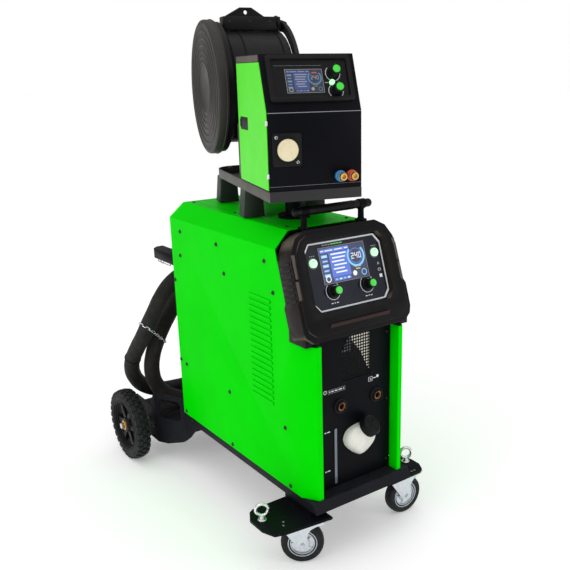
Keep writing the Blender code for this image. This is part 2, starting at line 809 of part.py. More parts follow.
def control_panel():
    """The moulded surround, its fascia, and the knobs and push buttons on it."""
    frame = frame_at("control_panel_frame", PANEL_CENTRE, (math.pi / 2 - PANEL_TILT, 0, 0))
    half_outline = [
        (0.114, 0.122),
        (0.146, 0.105),
        (0.165, 0.074),
        (0.171, 0.050),
        (0.173, -0.048),
        (0.179, -0.060),
        (0.179, -0.122),
        (0.172, -0.142),
        (0.150, -0.160),
    ]
    outline = half_outline + [(-x, v) for x, v in reversed(half_outline)]
    outline.reverse()
    surround = prism(outline, "z", -0.050, 0.012)
    shrunk = [(x * 0.93, v * 0.92) for x, v in outline]
    cap = prism(shrunk, "z", 0.010, 0.017)
    surround = joined(surround, cap)
    pocket = prism(fascia_outline(0.0), "z", -0.004, 0.03)
    back = prism([(x * 0.955, v * 0.93) for x, v in outline], "z", -0.06, -0.012)
    surround = without(surround, pocket, back)
    upright = frame.matrix_basis.inverted()
    profile = [
        (FOLD_Y - 0.034, 0.639),
        (FOLD_Y + 0.038, 0.639),
        (FOLD_Y + 0.038, 0.700),
        (FOLD_Y - 0.005, 0.700),
        (FOLD_Y - 0.034, 0.655),
    ]
    for low_x, high_x in ((-0.170, -0.1292), (0.1292, 0.170)):
        skirt = prism(profile, "x", low_x, high_x)
        surround = joined(surround, moved(skirt, upright))
    part("control_bezel", surround, "black_plastic", parent=frame)
    fascia = prism(fascia_outline(-0.0005), "z", -0.004 + GAP, 0.001)
    for sign in (-1, 1):
        fascia = without(fascia, cylinder(0.0120, -0.01, 0.01, (sign * 0.100, 0.037, 0), steps=24))
    part("control_fascia", fascia, "fascia", parent=frame)
    face = 0.001 + GAP
    for side, sign in sides():
        at = Vector((sign * 0.056, -0.041, face))
        knob = [
            (0, 0.029),
            (0.0085, 0.029),
            (0.0095, 0.027),
            (0.0095, 0.014),
            (0.0165, 0.008),
            (0.0175, 0.0),
            (0, 0.0),
        ]
        part("panel_knob_" + side, turned(knob, at, steps=20), "green_plastic", at, frame, True)
        at = Vector((sign * 0.100, 0.037, -0.0008))
        button = [(0, 0.0065), (0.0100, 0.0065), (0.0112, 0.0050), (0.0112, 0.0), (0, 0.0)]
        part("panel_button_" + side, turned(button, at, steps=20), "lit_button", at, frame, True)


def fascia_outline(grow):
    """The octagon of the fascia, grown by this much."""
    w = FASCIA_W + 0.004 + grow
    h = FASCIA_H + 0.004 + grow
    cut = 0.022
    corners = [(w, h - cut), (w - cut * 0.75, h), (-w + cut * 0.75, h), (-w, h - cut)]
    return corners + [(x, -y) for x, y in reversed(corners)]


# ---------------------------------------------------------------- feeder


def feeder():
    swivel = frame_at("feeder_swivel_frame", (0, PIVOT_Y, 0), (0, 0, FEEDER_TURN))
    frame = frame_at("feeder_frame", FEEDER_SHIFT, (0, 0, 0), swivel)
    feeder_tray(frame)
    feeder_casing(frame)
    feeder_controls(frame)
    feeder_front(frame)
    feeder_door(frame)
    wire_drive(frame)
    spool_housing(frame)
    feeder_hoses(frame)


def feeder_tray(frame):
    """The tray that swivels, with feet, spool uprights and a round rear end."""
    w = FEEDER_HALF_W
    rear = FRONT + TRAY_D
    outline = [(-w, FRONT), (w, FRONT)]
    corner = 0.070
    for first, sx in ((0, 1), (90, -1)):
        for i in range(5):
            angle = math.radians(first + 22.5 * i)
            x = sx * (w - corner) + corner * math.cos(angle)
            outline.append((x, rear - corner + corner * math.sin(angle)))
    tray = prism(outline, "z", TRAY_Z, TRAY_Z + TRAY_H)
    inner = [(x * 0.974, FRONT + 0.003 + (y - FRONT) * 0.990) for x, y in outline]
    tray = without(tray, prism(inner, "z", TRAY_Z + 0.003, TRAY_Z + TRAY_H + 0.01))
    for y in (FRONT + 0.280, FRONT + 0.560):
        for sign in (-1, 1):
            foot = prism(
                [
                    (sign * 0.090 - 0.032, FOOT_Z),
                    (sign * 0.090 + 0.028, FOOT_Z),
                    (sign * 0.090 + 0.024, TRAY_Z + 0.001),
                    (sign * 0.090 - 0.024, TRAY_Z + 0.001),
                ],
                "y",
                y - 0.026,
                y + 0.026,
            )
            tray = joined(tray, foot)
    end_x = DRUM_X[1] + GAP
    upright = prism(
        [
            (SPOOL_Y - 0.080, TRAY_Z + 0.002),
            (SPOOL_Y + 0.070, TRAY_Z + 0.002),
            (SPOOL_Y + 0.035, SPOOL_Z + 0.030),
            (SPOOL_Y - 0.035, SPOOL_Z + 0.030),
        ],
        "x",
        end_x,
        end_x + 0.003,
    )
    stay = block(
        (-0.107, SPOOL_Y - 0.215, TRAY_Z + 0.002), (-0.104, SPOOL_Y - 0.185, TRAY_Z + 0.170)
    )
    part("feeder_tray", joined(tray, upright, stay), "grey_paint", parent=frame)


def casing_outline(inset):
    """The feeder's side profile as (y, z), shrunk by this much."""
    slant = inset * 0.83
    return [
        (FRONT + inset, TRAY_Z + TRAY_H + GAP + inset),
        (FRONT + inset, KINK_Z),
        (FRONT + SLANT + slant, FEEDER_TOP - inset),
        (FRONT + FEEDER_D - inset, FEEDER_TOP - inset),
        (FRONT + FEEDER_D - inset, TRAY_Z + TRAY_H + GAP + inset),
    ]


def feeder_casing(frame):
    w = FEEDER_HALF_W
    casing = prism(casing_outline(0.0), "x", -w, w)
    room = prism(casing_outline(0.002), "x", -w + 0.002, w - 0.002)
    doorway = prism(
        [
            (FRONT + 0.025, TRAY_Z + TRAY_H + 0.014),
            (FRONT + 0.025, KINK_Z),
            (FRONT + SLANT + 0.018, FEEDER_TOP - 0.042),
            (FRONT + FEEDER_D - 0.012, FEEDER_TOP - 0.042),
            (FRONT + FEEDER_D - 0.012, TRAY_Z + TRAY_H + 0.014),
        ],
        "x",
        -w - 0.01,
        -w + 0.01,
    )
    part("feeder_casing", without(casing, room, doorway), "black_paint", parent=frame)


def feeder_controls(frame):
    """The framed display on the slanting upper front, with its two knobs and one button."""
    middle = Vector((0, FRONT + SLANT / 2, (KINK_Z + FEEDER_TOP) / 2))
    slope = frame_at("feeder_display_frame", middle, (math.pi / 2 - DISPLAY_TILT, 0, 0), frame)
    surround = prism(rounded(0.1075, 0.0575, 0.008, 2, (-0.002, 0.0075)), "z", GAP, 0.012)
    window = prism(rounded(0.0955, 0.0465, 0.004, 2, (-0.002, 0.0075)), "z", 0.004, 0.03)
    hole = cylinder(0.0070, -0.01, 0.02, (0.0520, -0.0025, 0), steps=20)
    part("feeder_fascia", without(surround, window, hole), "black_plastic", parent=slope)
    face = 0.004 + GAP
    for name, u, v in (("upper", 0.0575, 0.0195), ("lower", 0.0595, -0.0240)):
        at = Vector((u, v, face))
        knob = [
            (0, 0.032),
            (0.0085, 0.032),
            (0.0095, 0.030),
            (0.0095, 0.014),
            (0.0145, 0.008),
            (0.0150, 0.0),
            (0, 0.0),
        ]
        part("feeder_knob_" + name, turned(knob, at, steps=20), "green_plastic", at, slope, True)
    at = Vector((0.0520, -0.0025, 0.0022))
    button = [(0, 0.008), (0.0058, 0.008), (0.0064, 0.007), (0.0064, 0.0), (0, 0.0)]
    part("feeder_button", turned(button, at, steps=16), "lit_button", at, slope, True)


def feeder_front(frame):
    """Torch connector flange with its cap, and the blue and red coolant couplings."""
    face = FRONT - GAP
    flange_z = 1.1175
    flange_x = -0.0745
    outline = rounded(0.0370, 0.0395, 0.006, 2, (flange_x, flange_z))
    flange = prism(outline, "y", face - 0.004, face)
    well = cylinder(0.0265, 0, 0.02, (flange_x, face + 0.002, flange_z), (0, -1, 0), 28)
    ring = turned(
        [(0.0265, 0.010), (0.030, 0.010), (0.031, 0.0035), (0.0265, 0.0035)],
        (flange_x, face, flange_z),
        (0, -1, 0),
        28,
    )
    flange = joined(without(flange, well), ring)
    part("torch_flange", flange, "black_plastic", parent=frame)
    at = Vector((flange_x, face, flange_z))
    cap = [(0, 0.014), (0.020, 0.014), (0.0245, 0.012), (0.026, 0.009), (0.026, 0.0), (0, 0.0)]
    part("torch_socket_cap", turned(cap, at, (0, -1, 0), 28), "cream_plastic", at, frame, True)
    coupling = [
        (0, 0.034),
        (0.0065, 0.034),
        (0.0075, 0.026),
        (0.0115, 0.025),
        (0.0125, 0.006),
        (0.0145, 0.005),
        (0.0145, 0.0),
        (0, 0.0),
    ]
    for name, x, slot in (("blue", 0.0600, "blue_plastic"), ("red", 0.0900, "red_plastic")):
        at = (x, face, 1.049)
        part("coolant_coupling_" + name, turned(coupling, at, (0, -1, 0), 20), slot, at, frame, True)


def feeder_door(frame):
    """The green side door, hinged along the front edge, and its paddle latch."""
    outside = -FEEDER_HALF_W - GAP
    outline = [
        (FRONT + 0.003, TRAY_Z + TRAY_H + 0.004),
        (FRONT + 0.003, KINK_Z),
        (FRONT + SLANT - 0.0045, FEEDER_TOP - 0.019),
        (FRONT + FEEDER_D - 0.001, FEEDER_TOP - 0.019),
        (FRONT + FEEDER_D - 0.001, TRAY_Z + TRAY_H + 0.004),
    ]
    door = prism(outline, "x", outside - 0.002, outside)
    low = (FRONT + 0.166, 1.1545)
    high = (FRONT + 0.238, 1.1865)
    hole = block((outside - 0.01, low[0], low[1]), (outside + 0.01, high[0], high[1]))
    hinge = (outside - 0.001, FRONT + 0.003, 0.0)
    part("feeder_door", without(door, hole), "light_green_paint", hinge, frame)
    paddle = block(
        (outside - 0.0015, low[0] + 0.0005, low[1] + 0.0005),
        (outside + 0.0005 - GAP, high[0] - 0.0005, high[1] - 0.0005),
    )
    hook_y = high[0] - 0.0040
    at = (outside - 0.0005, low[0] + 0.002, (low[1] + high[1]) / 2)
    lip = block(
        (outside - 0.0035, hook_y, low[1] + 0.006), (outside - 0.0010, hook_y + 0.003, high[1] - 0.006)
    )
    part("door_latch", joined(paddle, lip), "black_plastic", at, frame)


def wire_drive(frame):
    """Motor and gearbox plate with a drive roll, and the pressure arm above it."""
    x = 0.020
    y = FRONT + 0.135
    z = 1.115
    plate = block((x, y - 0.065, z - 0.055), (x + 0.010, y + 0.065, z + 0.060))
    motor = cylinder(0.030, 0.008, 0.085, (x, y + 0.020, z - 0.010), (1, 0, 0), 24)
    guide_in = cylinder(0.006, 0.030, 0.060, (x - 0.030, y, z + 0.0160), (0, 1, 0), 12)
    guide_out = cylinder(0.006, -0.060, -0.030, (x - 0.030, y, z + 0.0160), (0, 1, 0), 12)
    shelf_in = block((x - 0.037, y + 0.035, z + 0.004), (x + 0.001, y + 0.050, z + 0.0145))
    shelf_out = block((x - 0.037, y - 0.050, z + 0.004), (x + 0.001, y - 0.035, z + 0.0145))
    base = block((x, y - 0.050, TRAY_Z + TRAY_H + 0.003), (x + 0.010, y + 0.050, z - 0.050))
    drive = joined(plate, motor, base, shelf_in, shelf_out, guide_in, guide_out)
    part("wire_drive_motor", drive, "aluminium", parent=frame)
    roll = [
        (0, 0.0),
        (0.008, 0.0),
        (0.008, -0.020),
        (0.0145, -0.020),
        (0.0145, -0.028),
        (0.0135, -0.030),
        (0.0145, -0.032),
        (0.0145, -0.040),
        (0, -0.040),
    ]
    at = (x - GAP, y, z)
    part("drive_roll", turned(roll[::-1], at, (1, 0, 0), 20), "zinc", at, frame, True)
    arm_pivot = Vector((x - 0.006, y + 0.030, z + 0.034))
    arm = block((x - 0.038, y - 0.040, z + 0.0265), (x - 0.001, y + 0.036, z + 0.040))
    roller = cylinder(0.011, -0.034, -0.024, (x, y, z + 0.0268), (1, 0, 0), 20)
    knob = turned(
        [(0, 0.050), (0.010, 0.050), (0.011, 0.020), (0.006, 0.018), (0.006, -0.002), (0, -0.002)],
        (x - 0.020, y - 0.028, z + 0.040),
        (0, 0, 1),
        16,
    )
    part("pressure_arm", joined(arm, roller, knob), "black_plastic", arm_pivot, frame)


def spool_housing(frame):
    """Round housing behind the feeder with its hub, wire spool, side cover and top bracket."""
    centre = Vector((0, SPOOL_Y, SPOOL_Z))
    left, right = DRUM_X
    wall = 0.003
    drum = [
        (0, right),
        (DRUM_R - 0.006, right),
        (DRUM_R, right - 0.006),
        (DRUM_R, left + 0.030),
        (COVER_R - 0.005, left + 0.016),
        (COVER_R - 0.005, left),
        (COVER_R - 0.008, left),
        (COVER_R - 0.008, left + 0.014),
        (DRUM_R - wall, left + 0.028),
        (DRUM_R - wall, right - wall),
        (HUB_R, right - wall),
        (HUB_R, left + 0.022),
        (0, left + 0.022),
    ]
    part("spool_housing", turned(drum, centre, (1, 0, 0), 40), "black_plastic", parent=frame, smooth=True)
    flange = 0.146
    core = 0.118
    near = left + 0.030
    far = near + 0.100
    spool = [
        (HUB_R + 0.0006, far),
        (0.032, far),
        (0.032, near + 0.053),
        (0.092, near + 0.053),
        (0.092, far),
        (flange, far),
        (flange, far - 0.004),
        (core, far - 0.005),
        (core, near + 0.005),
        (flange, near + 0.004),
        (flange, near),
        (0.092, near),
        (0.092, near + 0.047),
        (0.032, near + 0.047),
        (0.032, near),
        (HUB_R + 0.0006, near),
    ]
    part("wire_spool", turned(spool, centre, (1, 0, 0), 36), "brass", centre, frame, True)
    back = left - GAP
    cover = [
        (0, back),
        (COVER_R, back),
        (COVER_R, back - 0.008),
        (COVER_R - 0.006, back - 0.018),
        (COVER_R - 0.022, back - 0.025),
        (COVER_R - 0.070, COVER_X + 0.002),
        (0, COVER_X),
    ]
    hinge = (back, SPOOL_Y + COVER_R, SPOOL_Z)
    made = turned(cover, centre, (1, 0, 0), 48)
    part("spool_cover", made, "grey_plastic", hinge, frame, True)
    bar = block((-0.092, SPOOL_Y - 0.027, BRACKET_Z), (0.077, SPOOL_Y + 0.027, BRACKET_Z + 0.038))
    crest = [
        (-0.086, BRACKET_Z + 0.037),
        (0.036, BRACKET_Z + 0.037),
        (-0.004, BRACKET_Z + 0.063),
        (-0.038, BRACKET_Z + 0.063),
    ]
    lug = prism(crest, "y", SPOOL_Y - 0.008, SPOOL_Y + 0.008)
    eye = cylinder(0.006, -0.02, 0.02, (-0.021, SPOOL_Y, BRACKET_Z + 0.050), (0, 1, 0), 16)
    part("spool_bracket", joined(bar, without(lug, eye)), "black_plastic", parent=frame)


# ---------------------------------------------------------------- hoses

HOSE_START = (-0.070, REAR_Y + 0.022 + GAP, 0.600)
LOOP_Z = PLATFORM_Z + 0.0027 + HOSE_R
LOOP_R = 0.1075


def loop_on_platform():
    """The hose's flat loop behind the cabinet, as points every 30 or 60 degrees."""
    made = []
    for angle in (240, 270, 300, 330, 0, 30, 60, 90):
        a = math.radians(angle)
        made.append((0.075 + LOOP_R * math.cos(a), REAR_Y + 0.1675 + LOOP_R * math.sin(a), LOOP_Z))
    return made


HOSE_ROUTE = [
    HOSE_START,
    (-0.070, REAR_Y + 0.048, 0.600),
    (-0.070, REAR_Y + 0.074, 0.600),
    (-0.074, REAR_Y + 0.104, 0.5945),
    (-0.0835, REAR_Y + 0.132, 0.578),
    (-0.099, REAR_Y + 0.153, 0.548),
    (-0.121, REAR_Y + 0.168, 0.505),
    (-0.144, REAR_Y + 0.180, 0.457),
    (-0.165, REAR_Y + 0.193, 0.405),
    (-0.179, REAR_Y + 0.205, 0.350),
    (-0.184, REAR_Y + 0.211, 0.296),
    (-0.176, REAR_Y + 0.2055, 0.246),
    (-0.148, REAR_Y + 0.189, 0.205),
    (-0.098, REAR_Y + 0.160, 0.1822),
    (-0.036, REAR_Y + 0.124, LOOP_Z),
    *loop_on_platform(),
    (0.010, REAR_Y + 0.2765, LOOP_Z),
    (-0.060, REAR_Y + 0.278, LOOP_Z + 0.0002),
    (-0.120, REAR_Y + 0.280, 0.1845),
    (-0.172, REAR_Y + 0.281, 0.205),
    (-0.211, REAR_Y + 0.278, 0.239),
    (-0.233, REAR_Y + 0.267, 0.285),
    (-0.239, REAR_Y + 0.245, 0.336),
    (-0.232, REAR_Y + 0.212, 0.386),
    (-0.221, REAR_Y + 0.176, 0.436),
    (-0.209, REAR_Y + 0.145, 0.487),
    (-0.193, REAR_Y + 0.121, 0.537),
    (-0.173, REAR_Y + 0.105, 0.585),
    (-0.144, REAR_Y + 0.093, 0.628),
    (-0.102, REAR_Y + 0.082, 0.657),
    (-0.052, REAR_Y + 0.074, 0.667),
    (0.010, REAR_Y + 0.070, 0.665),
    (0.080, REAR_Y + 0.068, 0.661),
    (0.142, REAR_Y + 0.066, 0.665),
    (0.193, REAR_Y + 0.061, 0.693),
    (0.2215, REAR_Y + 0.053, 0.742),
    (0.2315, REAR_Y + 0.044, 0.803),
    (0.232, REAR_Y + 0.036, 0.868),
    (0.232, REAR_Y + 0.030, 0.912),
    (0.232, REAR_Y + 0.030, HOSE_SPLIT_Z - GAP / 2),
]


CONDUIT_ROUTE = [
    (0.0834, 0.2905, 1.4335),
    (0.0877, 0.2832, 1.4314),
    (0.0912, 0.2740, 1.4282),
    (0.0931, 0.2600, 1.4223),
    (0.0938, 0.2420, 1.4130),
    (0.0935, 0.2220, 1.4010),
    (0.0928, 0.2010, 1.3860),
    (0.0920, 0.1800, 1.3675),
    (0.0912, 0.1610, 1.3455),
    (0.0908, 0.1430, 1.3200),
    (0.0905, 0.1240, 1.2940),
    (0.0903, 0.1020, 1.2705),
    (0.0901, 0.0760, 1.2540),
    (0.0900, 0.0480, 1.2470),
]


def interconnection_hose():
    """The lower stretch of the hose, which stays with the cabinet."""
    points = smooth_route(HOSE_ROUTE, 76)
    part("hose_lower", tube(points, HOSE_R, 3), "hose_sleeve", smooth=True)


def feeder_hoses(frame):
    """The hose's upper stretch, and the two small hoses from the spool bracket to the box."""
    world = Matrix.Translation((0, PIVOT_Y, 0)) @ Matrix.Rotation(FEEDER_TURN, 4, "Z")
    into_feeder = (world @ Matrix.Translation(FEEDER_SHIFT)).inverted()
    start = into_feeder @ Vector((0.232, REAR_Y + 0.030, HOSE_SPLIT_Z + GAP / 2))
    end_y = FRONT + FEEDER_D + GAP
    low = TRAY_Z + TRAY_H + HOSE_R + 0.006
    route = [
        start,
        start + Vector((0.0, 0.0, 0.030)),
        start + Vector((0.001, -0.024, 0.092)),
        (0.113, start.y - 0.090, low + 0.040),
        (0.114, start.y - 0.160, low + 0.010),
        (0.114, start.y - 0.240, low + 0.002),
        (0.112, start.y - 0.310, low),
        (0.096, start.y - 0.390, low),
        (0.085, end_y + 0.040, low),
        (0.085, end_y, low),
    ]
    part("hose_upper", tube(smooth_route(route, 20), HOSE_R, 3), "hose_sleeve", parent=frame, smooth=True)
    upper = [Vector((x, y, z)) for x, y, z in CONDUIT_ROUTE] + [Vector((0.0900, end_y, 1.2470))]
    lower = []
    for i, point in enumerate(upper):
        along = (upper[min(i + 1, len(upper) - 1)] - upper[max(i - 1, 0)]).normalized()
        under = Vector((0, -along.z, along.y)).normalized()
        share = max(0.0, (i - 9) / 5)
        lower.append(point + under * (0.0150 + 0.011 * min(1.0, share)))
    lower[-1] = Vector((lower[-2].x, end_y, lower[-2].z))
    for name, route in (("front", lower), ("rear", upper)):
        made = tube(smooth_route(route, 26), SMALL_HOSE_R, 2)
        part("feeder_hose_" + name, made, "rubber", parent=frame, smooth=True)


def main():
    start()
    make_materials()
    chassis_frame()
    outriggers()
    rear_wheels()
    casters()
    bottle_cradle()
    side_panels()
    cabinet_shell()
    output_sockets()
    coolant_filler()
    top_handle()
    swivel_post()
    inside_cabinet()
    rear_fittings()
    control_panel()
    feeder()
    interconnection_hose()
    for obj in list(CUTTERS.objects):
        bpy.data.objects.remove(obj)


main()
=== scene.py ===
"""The looks of a MIG welder on its cart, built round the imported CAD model. Metres, +Z up."""

import math

import bmesh
import bpy
from mathutils import Matrix, Vector, noise


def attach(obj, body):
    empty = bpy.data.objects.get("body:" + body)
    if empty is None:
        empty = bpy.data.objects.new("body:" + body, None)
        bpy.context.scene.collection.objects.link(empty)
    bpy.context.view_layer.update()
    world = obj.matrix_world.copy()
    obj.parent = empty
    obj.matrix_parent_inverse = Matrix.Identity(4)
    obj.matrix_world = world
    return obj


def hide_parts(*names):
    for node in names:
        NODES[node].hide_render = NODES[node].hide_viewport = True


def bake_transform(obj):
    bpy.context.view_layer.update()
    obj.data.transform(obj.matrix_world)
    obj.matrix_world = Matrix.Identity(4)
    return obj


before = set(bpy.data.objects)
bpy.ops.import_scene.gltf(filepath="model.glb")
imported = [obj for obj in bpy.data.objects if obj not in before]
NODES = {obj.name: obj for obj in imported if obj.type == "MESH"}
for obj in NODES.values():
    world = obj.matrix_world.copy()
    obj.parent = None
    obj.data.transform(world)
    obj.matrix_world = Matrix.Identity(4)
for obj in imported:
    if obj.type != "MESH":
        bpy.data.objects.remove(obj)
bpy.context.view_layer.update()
TAU = 2 * math.pi

# The driving dimensions of the CAD.
GAP = 0.0003  # between two solids that touch
FOLD_Y = -0.4705  # where the cabinet's sides fold in towards the front
RECESS_Y = -0.4805  # the black front panel's face
REAR_Y = 0.2195
CABINET_HALF_W = 0.170
PIVOT_Y = -0.2205
AXLE_Y, WHEEL_R, WHEEL_X = 0.4145, 0.125, 0.288
CASTER_X, CASTER_Y, CASTER_R, CASTER_TRAIL = 0.190, FOLD_Y + 0.035, 0.060, 0.035
OUTRIGGER_TOP = 0.160
FRONT, HALF_W, FEEDER_D, TRAY_TOP = -0.235, 0.1205, 0.258, 1.018  # the feeder, in its own axes
SPOOL_Y, SPOOL_Z = 0.285, 1.2535
HOSE_R, SPLIT_Z = 0.027, 0.955


def rotation(angle, axis="Z"):
    return Matrix.Rotation(angle, 4, axis)


def shift(*v):
    return Matrix.Translation(v)


def axes(origin, x, y, z):
    made = Matrix((Vector(x), Vector(y), Vector(z))).transposed().to_4x4()
    made.translation = Vector(origin)
    return made


def facing(origin, z, up=(0, 0, 1)):
    """A place whose own z axis points along z, and whose own y axis is as near up as it can be."""
    z = Vector(z).normalized()
    x = Vector(up).cross(z).normalized()
    return axes(origin, x, z.cross(x), z)


FEEDER = shift(0, PIVOT_Y, 0) @ rotation(math.radians(-15.9)) @ shift(-0.0163, 0.0037, 0)
TILT = math.radians(18.4)
PANEL = axes(
    (0, FOLD_Y + 0.0139, 0.7996),
    (1, 0, 0),
    (0, math.sin(TILT), math.cos(TILT)),
    (0, -math.cos(TILT), math.sin(TILT)),
)
LEAN = math.atan(0.056 / 0.133)
DISPLAY = FEEDER @ axes(
    (0, FRONT + 0.028, 1.2705),
    (1, 0, 0),
    (0, math.sin(LEAN), math.cos(LEAN)),
    (0, -math.cos(LEAN), math.sin(LEAN)),
)


# ---------------------------------------------------------------- camera, light and floor


def linked(name, data):
    """A new object of this data, put in the scene."""
    obj = bpy.data.objects.new(name, data)
    bpy.context.scene.collection.objects.link(obj)
    return obj


def camera():
    yaw, pitch, roll = 0.6383, -0.3046, -0.0143
    forward = Vector((math.sin(yaw) * math.cos(pitch), math.cos(yaw) * math.cos(pitch), math.sin(pitch)))
    right = Vector((math.cos(yaw), -math.sin(yaw), 0))
    up = right.cross(forward)
    side = math.cos(roll) * right + math.sin(roll) * up
    top = -math.sin(roll) * right + math.cos(roll) * up
    data = bpy.data.cameras.new("camera")
    obj = linked("camera", data)
    obj.matrix_world = axes((-1.1846, -1.9663, 1.2955), side, top, -forward)
    data.sensor_width, data.lens = 36, 48.26
    data.shift_x, data.shift_y = -0.0747, 0.0466
    bpy.context.scene.camera = obj


def lamp(name, position, target, size, power):
    """A soft box that points at the target."""
    data = bpy.data.lights.new(name, "AREA")
    data.shape, data.size, data.size_y = "RECTANGLE", size[0], size[1]
    data.energy = power
    linked(name, data).matrix_world = facing(position, Vector(position) - Vector(target))


def backdrop():
    """White to the camera, and dimmer to everything that it lights."""
    world = bpy.data.worlds.new("studio")
    world.use_nodes = True
    nodes, links = world.node_tree.nodes, world.node_tree.links
    back, bright = nodes["Background"], nodes.new("ShaderNodeBackground")
    for node, strength in ((back, 0.42), (bright, 1.0)):
        node.inputs["Color"].default_value = (1, 1, 1, 1)
        node.inputs["Strength"].default_value = strength
    seen, either = nodes.new("ShaderNodeLightPath"), nodes.new("ShaderNodeMixShader")
    links.new(seen.outputs["Is Camera Ray"], either.inputs[0])
    links.new(back.outputs[0], either.inputs[1])
    links.new(bright.outputs[0], either.inputs[2])
    links.new(either.outputs[0], nodes["World Output"].inputs["Surface"])
    bpy.context.scene.world = world


def lights():
    lamp("key", (-3.2, -0.9, 2.1), (0, 0, 0.6), (1.6, 1.8), 20)
    lamp("fill", (1.6, -3.0, 1.9), (0, 0, 0.6), (1.2, 1.6), 12)
    sky = bpy.data.lights.new("sky", "SUN")
    sky.energy, sky.angle = 1.35, math.radians(100)
    linked("sky", sky).matrix_world = facing((0, 0, 4), (-0.25, -0.2, 1))
    view = bpy.context.scene.view_settings
    view.view_transform, view.look = "Standard", "None"
    view.exposure, view.gamma = 0.0, 1.0


def floor_plane():
    """A wide floor that glows a little, so that it fades into the white behind it."""
    mesh = bpy.data.meshes.new("floor")
    bm = patch(-60, -60, 60, 60, 0)
    bm.to_mesh(mesh)
    bm.free()
    made = bpy.data.materials.new("floor")
    made.use_nodes = True
    shader = made.node_tree.nodes["Principled BSDF"]
    shader.inputs["Base Color"].default_value = (0.95, 0.95, 0.95, 1)
    shader.inputs["Roughness"].default_value = 0.75
    shader.inputs["Emission Color"].default_value = (1, 1, 1, 1)
    shader.inputs["Emission Strength"].default_value = 0.24
    mesh.materials.append(made)
    linked("floor", mesh)


# ---------------------------------------------------------------- materials


class Graph:
    """A material's node tree, with short ways to add nodes."""

    def __init__(self, name):
        self.made = bpy.data.materials.new(name)
        self.made.use_nodes = True
        self.tree = self.made.node_tree
        self.shader = self.tree.nodes["Principled BSDF"]
        self.coords = self.add("TexCoord").outputs["Object"]

    def add(self, kind, **settings):
        node = self.tree.nodes.new("ShaderNode" + kind)
        for key, value in settings.items():
            setattr(node, key, value)
        return node

    def put(self, socket, value):
        if isinstance(value, bpy.types.NodeSocket):
            self.tree.links.new(value, socket)
        elif isinstance(value, (tuple, list)) and len(value) == 3 and socket.type == "RGBA":
            socket.default_value = (*value, 1)
        else:
            socket.default_value = value

    def noise(self, size, detail=3.0, rough=0.5, stretch=None):
        node = self.add("TexNoise")
        where = self.coords
        if stretch:
            mapping = self.add("Mapping")
            self.put(mapping.inputs["Vector"], where)
            mapping.inputs["Scale"].default_value = stretch
            where = mapping.outputs["Vector"]
        self.put(node.inputs["Vector"], where)
        node.inputs["Scale"].default_value = 1 / size
        node.inputs["Detail"].default_value = detail
        node.inputs["Roughness"].default_value = rough
        return node.outputs["Fac"]

    def span(self, value, low, high, to_low=0.0, to_high=1.0):
        node = self.add("MapRange")
        for key, v in zip(
            ("Value", "From Min", "From Max", "To Min", "To Max"),
            (value, low, high, to_low, to_high),
        ):
            self.put(node.inputs[key], v)
        return node.outputs["Result"]

    def math(self, operation, a, b=0.0):
        node = self.add("Math", operation=operation)
        self.put(node.inputs[0], a)
        self.put(node.inputs[1], b)
        return node.outputs[0]

    def mix(self, factor, a, b):
        node = self.add("Mix", data_type="RGBA")
        self.put(node.inputs["Factor"], factor)
        self.put(node.inputs["A"], a)
        self.put(node.inputs["B"], b)
        return node.outputs["Result"]

    def parts(self, vector):
        """The vector's X, Y and Z."""
        node = self.add("SeparateXYZ")
        self.put(node.inputs[0], vector)
        return node.outputs

    def soft_edge(self, radius):
        """The normal as if the edges were rounded."""
        node = self.add("Bevel", samples=4)
        node.inputs["Radius"].default_value = radius
        return node.outputs["Normal"]

    def edge_mask(self, normal, low=0.04, high=0.25):
        """1 where the rounded normal leaves the flat one, which is along an edge."""
        flat = self.add("NewGeometry").outputs["True Normal"]
        dot = self.add("VectorMath", operation="DOT_PRODUCT")
        self.put(dot.inputs[0], normal)
        self.put(dot.inputs[1], flat)
        return self.span(self.math("SUBTRACT", 1.0, dot.outputs["Value"]), low, high)

    def bump(self, height, distance, normal=None):
        node = self.add("Bump")
        node.inputs["Distance"].default_value = distance
        node.inputs["Strength"].default_value = 1.0
        self.put(node.inputs["Height"], height)
        if normal is not None:
            self.put(node.inputs["Normal"], normal)
        return node.outputs["Normal"]

    def finish(self, colour, rough, metal=0.0, normal=None, **more):
        """The material. What comes in more is the shader's other inputs, with _ for each space."""
        self.put(self.shader.inputs["Base Color"], colour)
        self.put(self.shader.inputs["Roughness"], rough)
        self.put(self.shader.inputs["Metallic"], metal)
        if normal is not None:
            self.put(self.shader.inputs["Normal"], normal)
        for key, value in more.items():
            self.put(self.shader.inputs[key.replace("_", " ")], value)
        return self.made


DUST = (0.35, 0.33, 0.3)


def scaled(colour, k):
    return tuple(min(1.0, c * k) for c in colour)


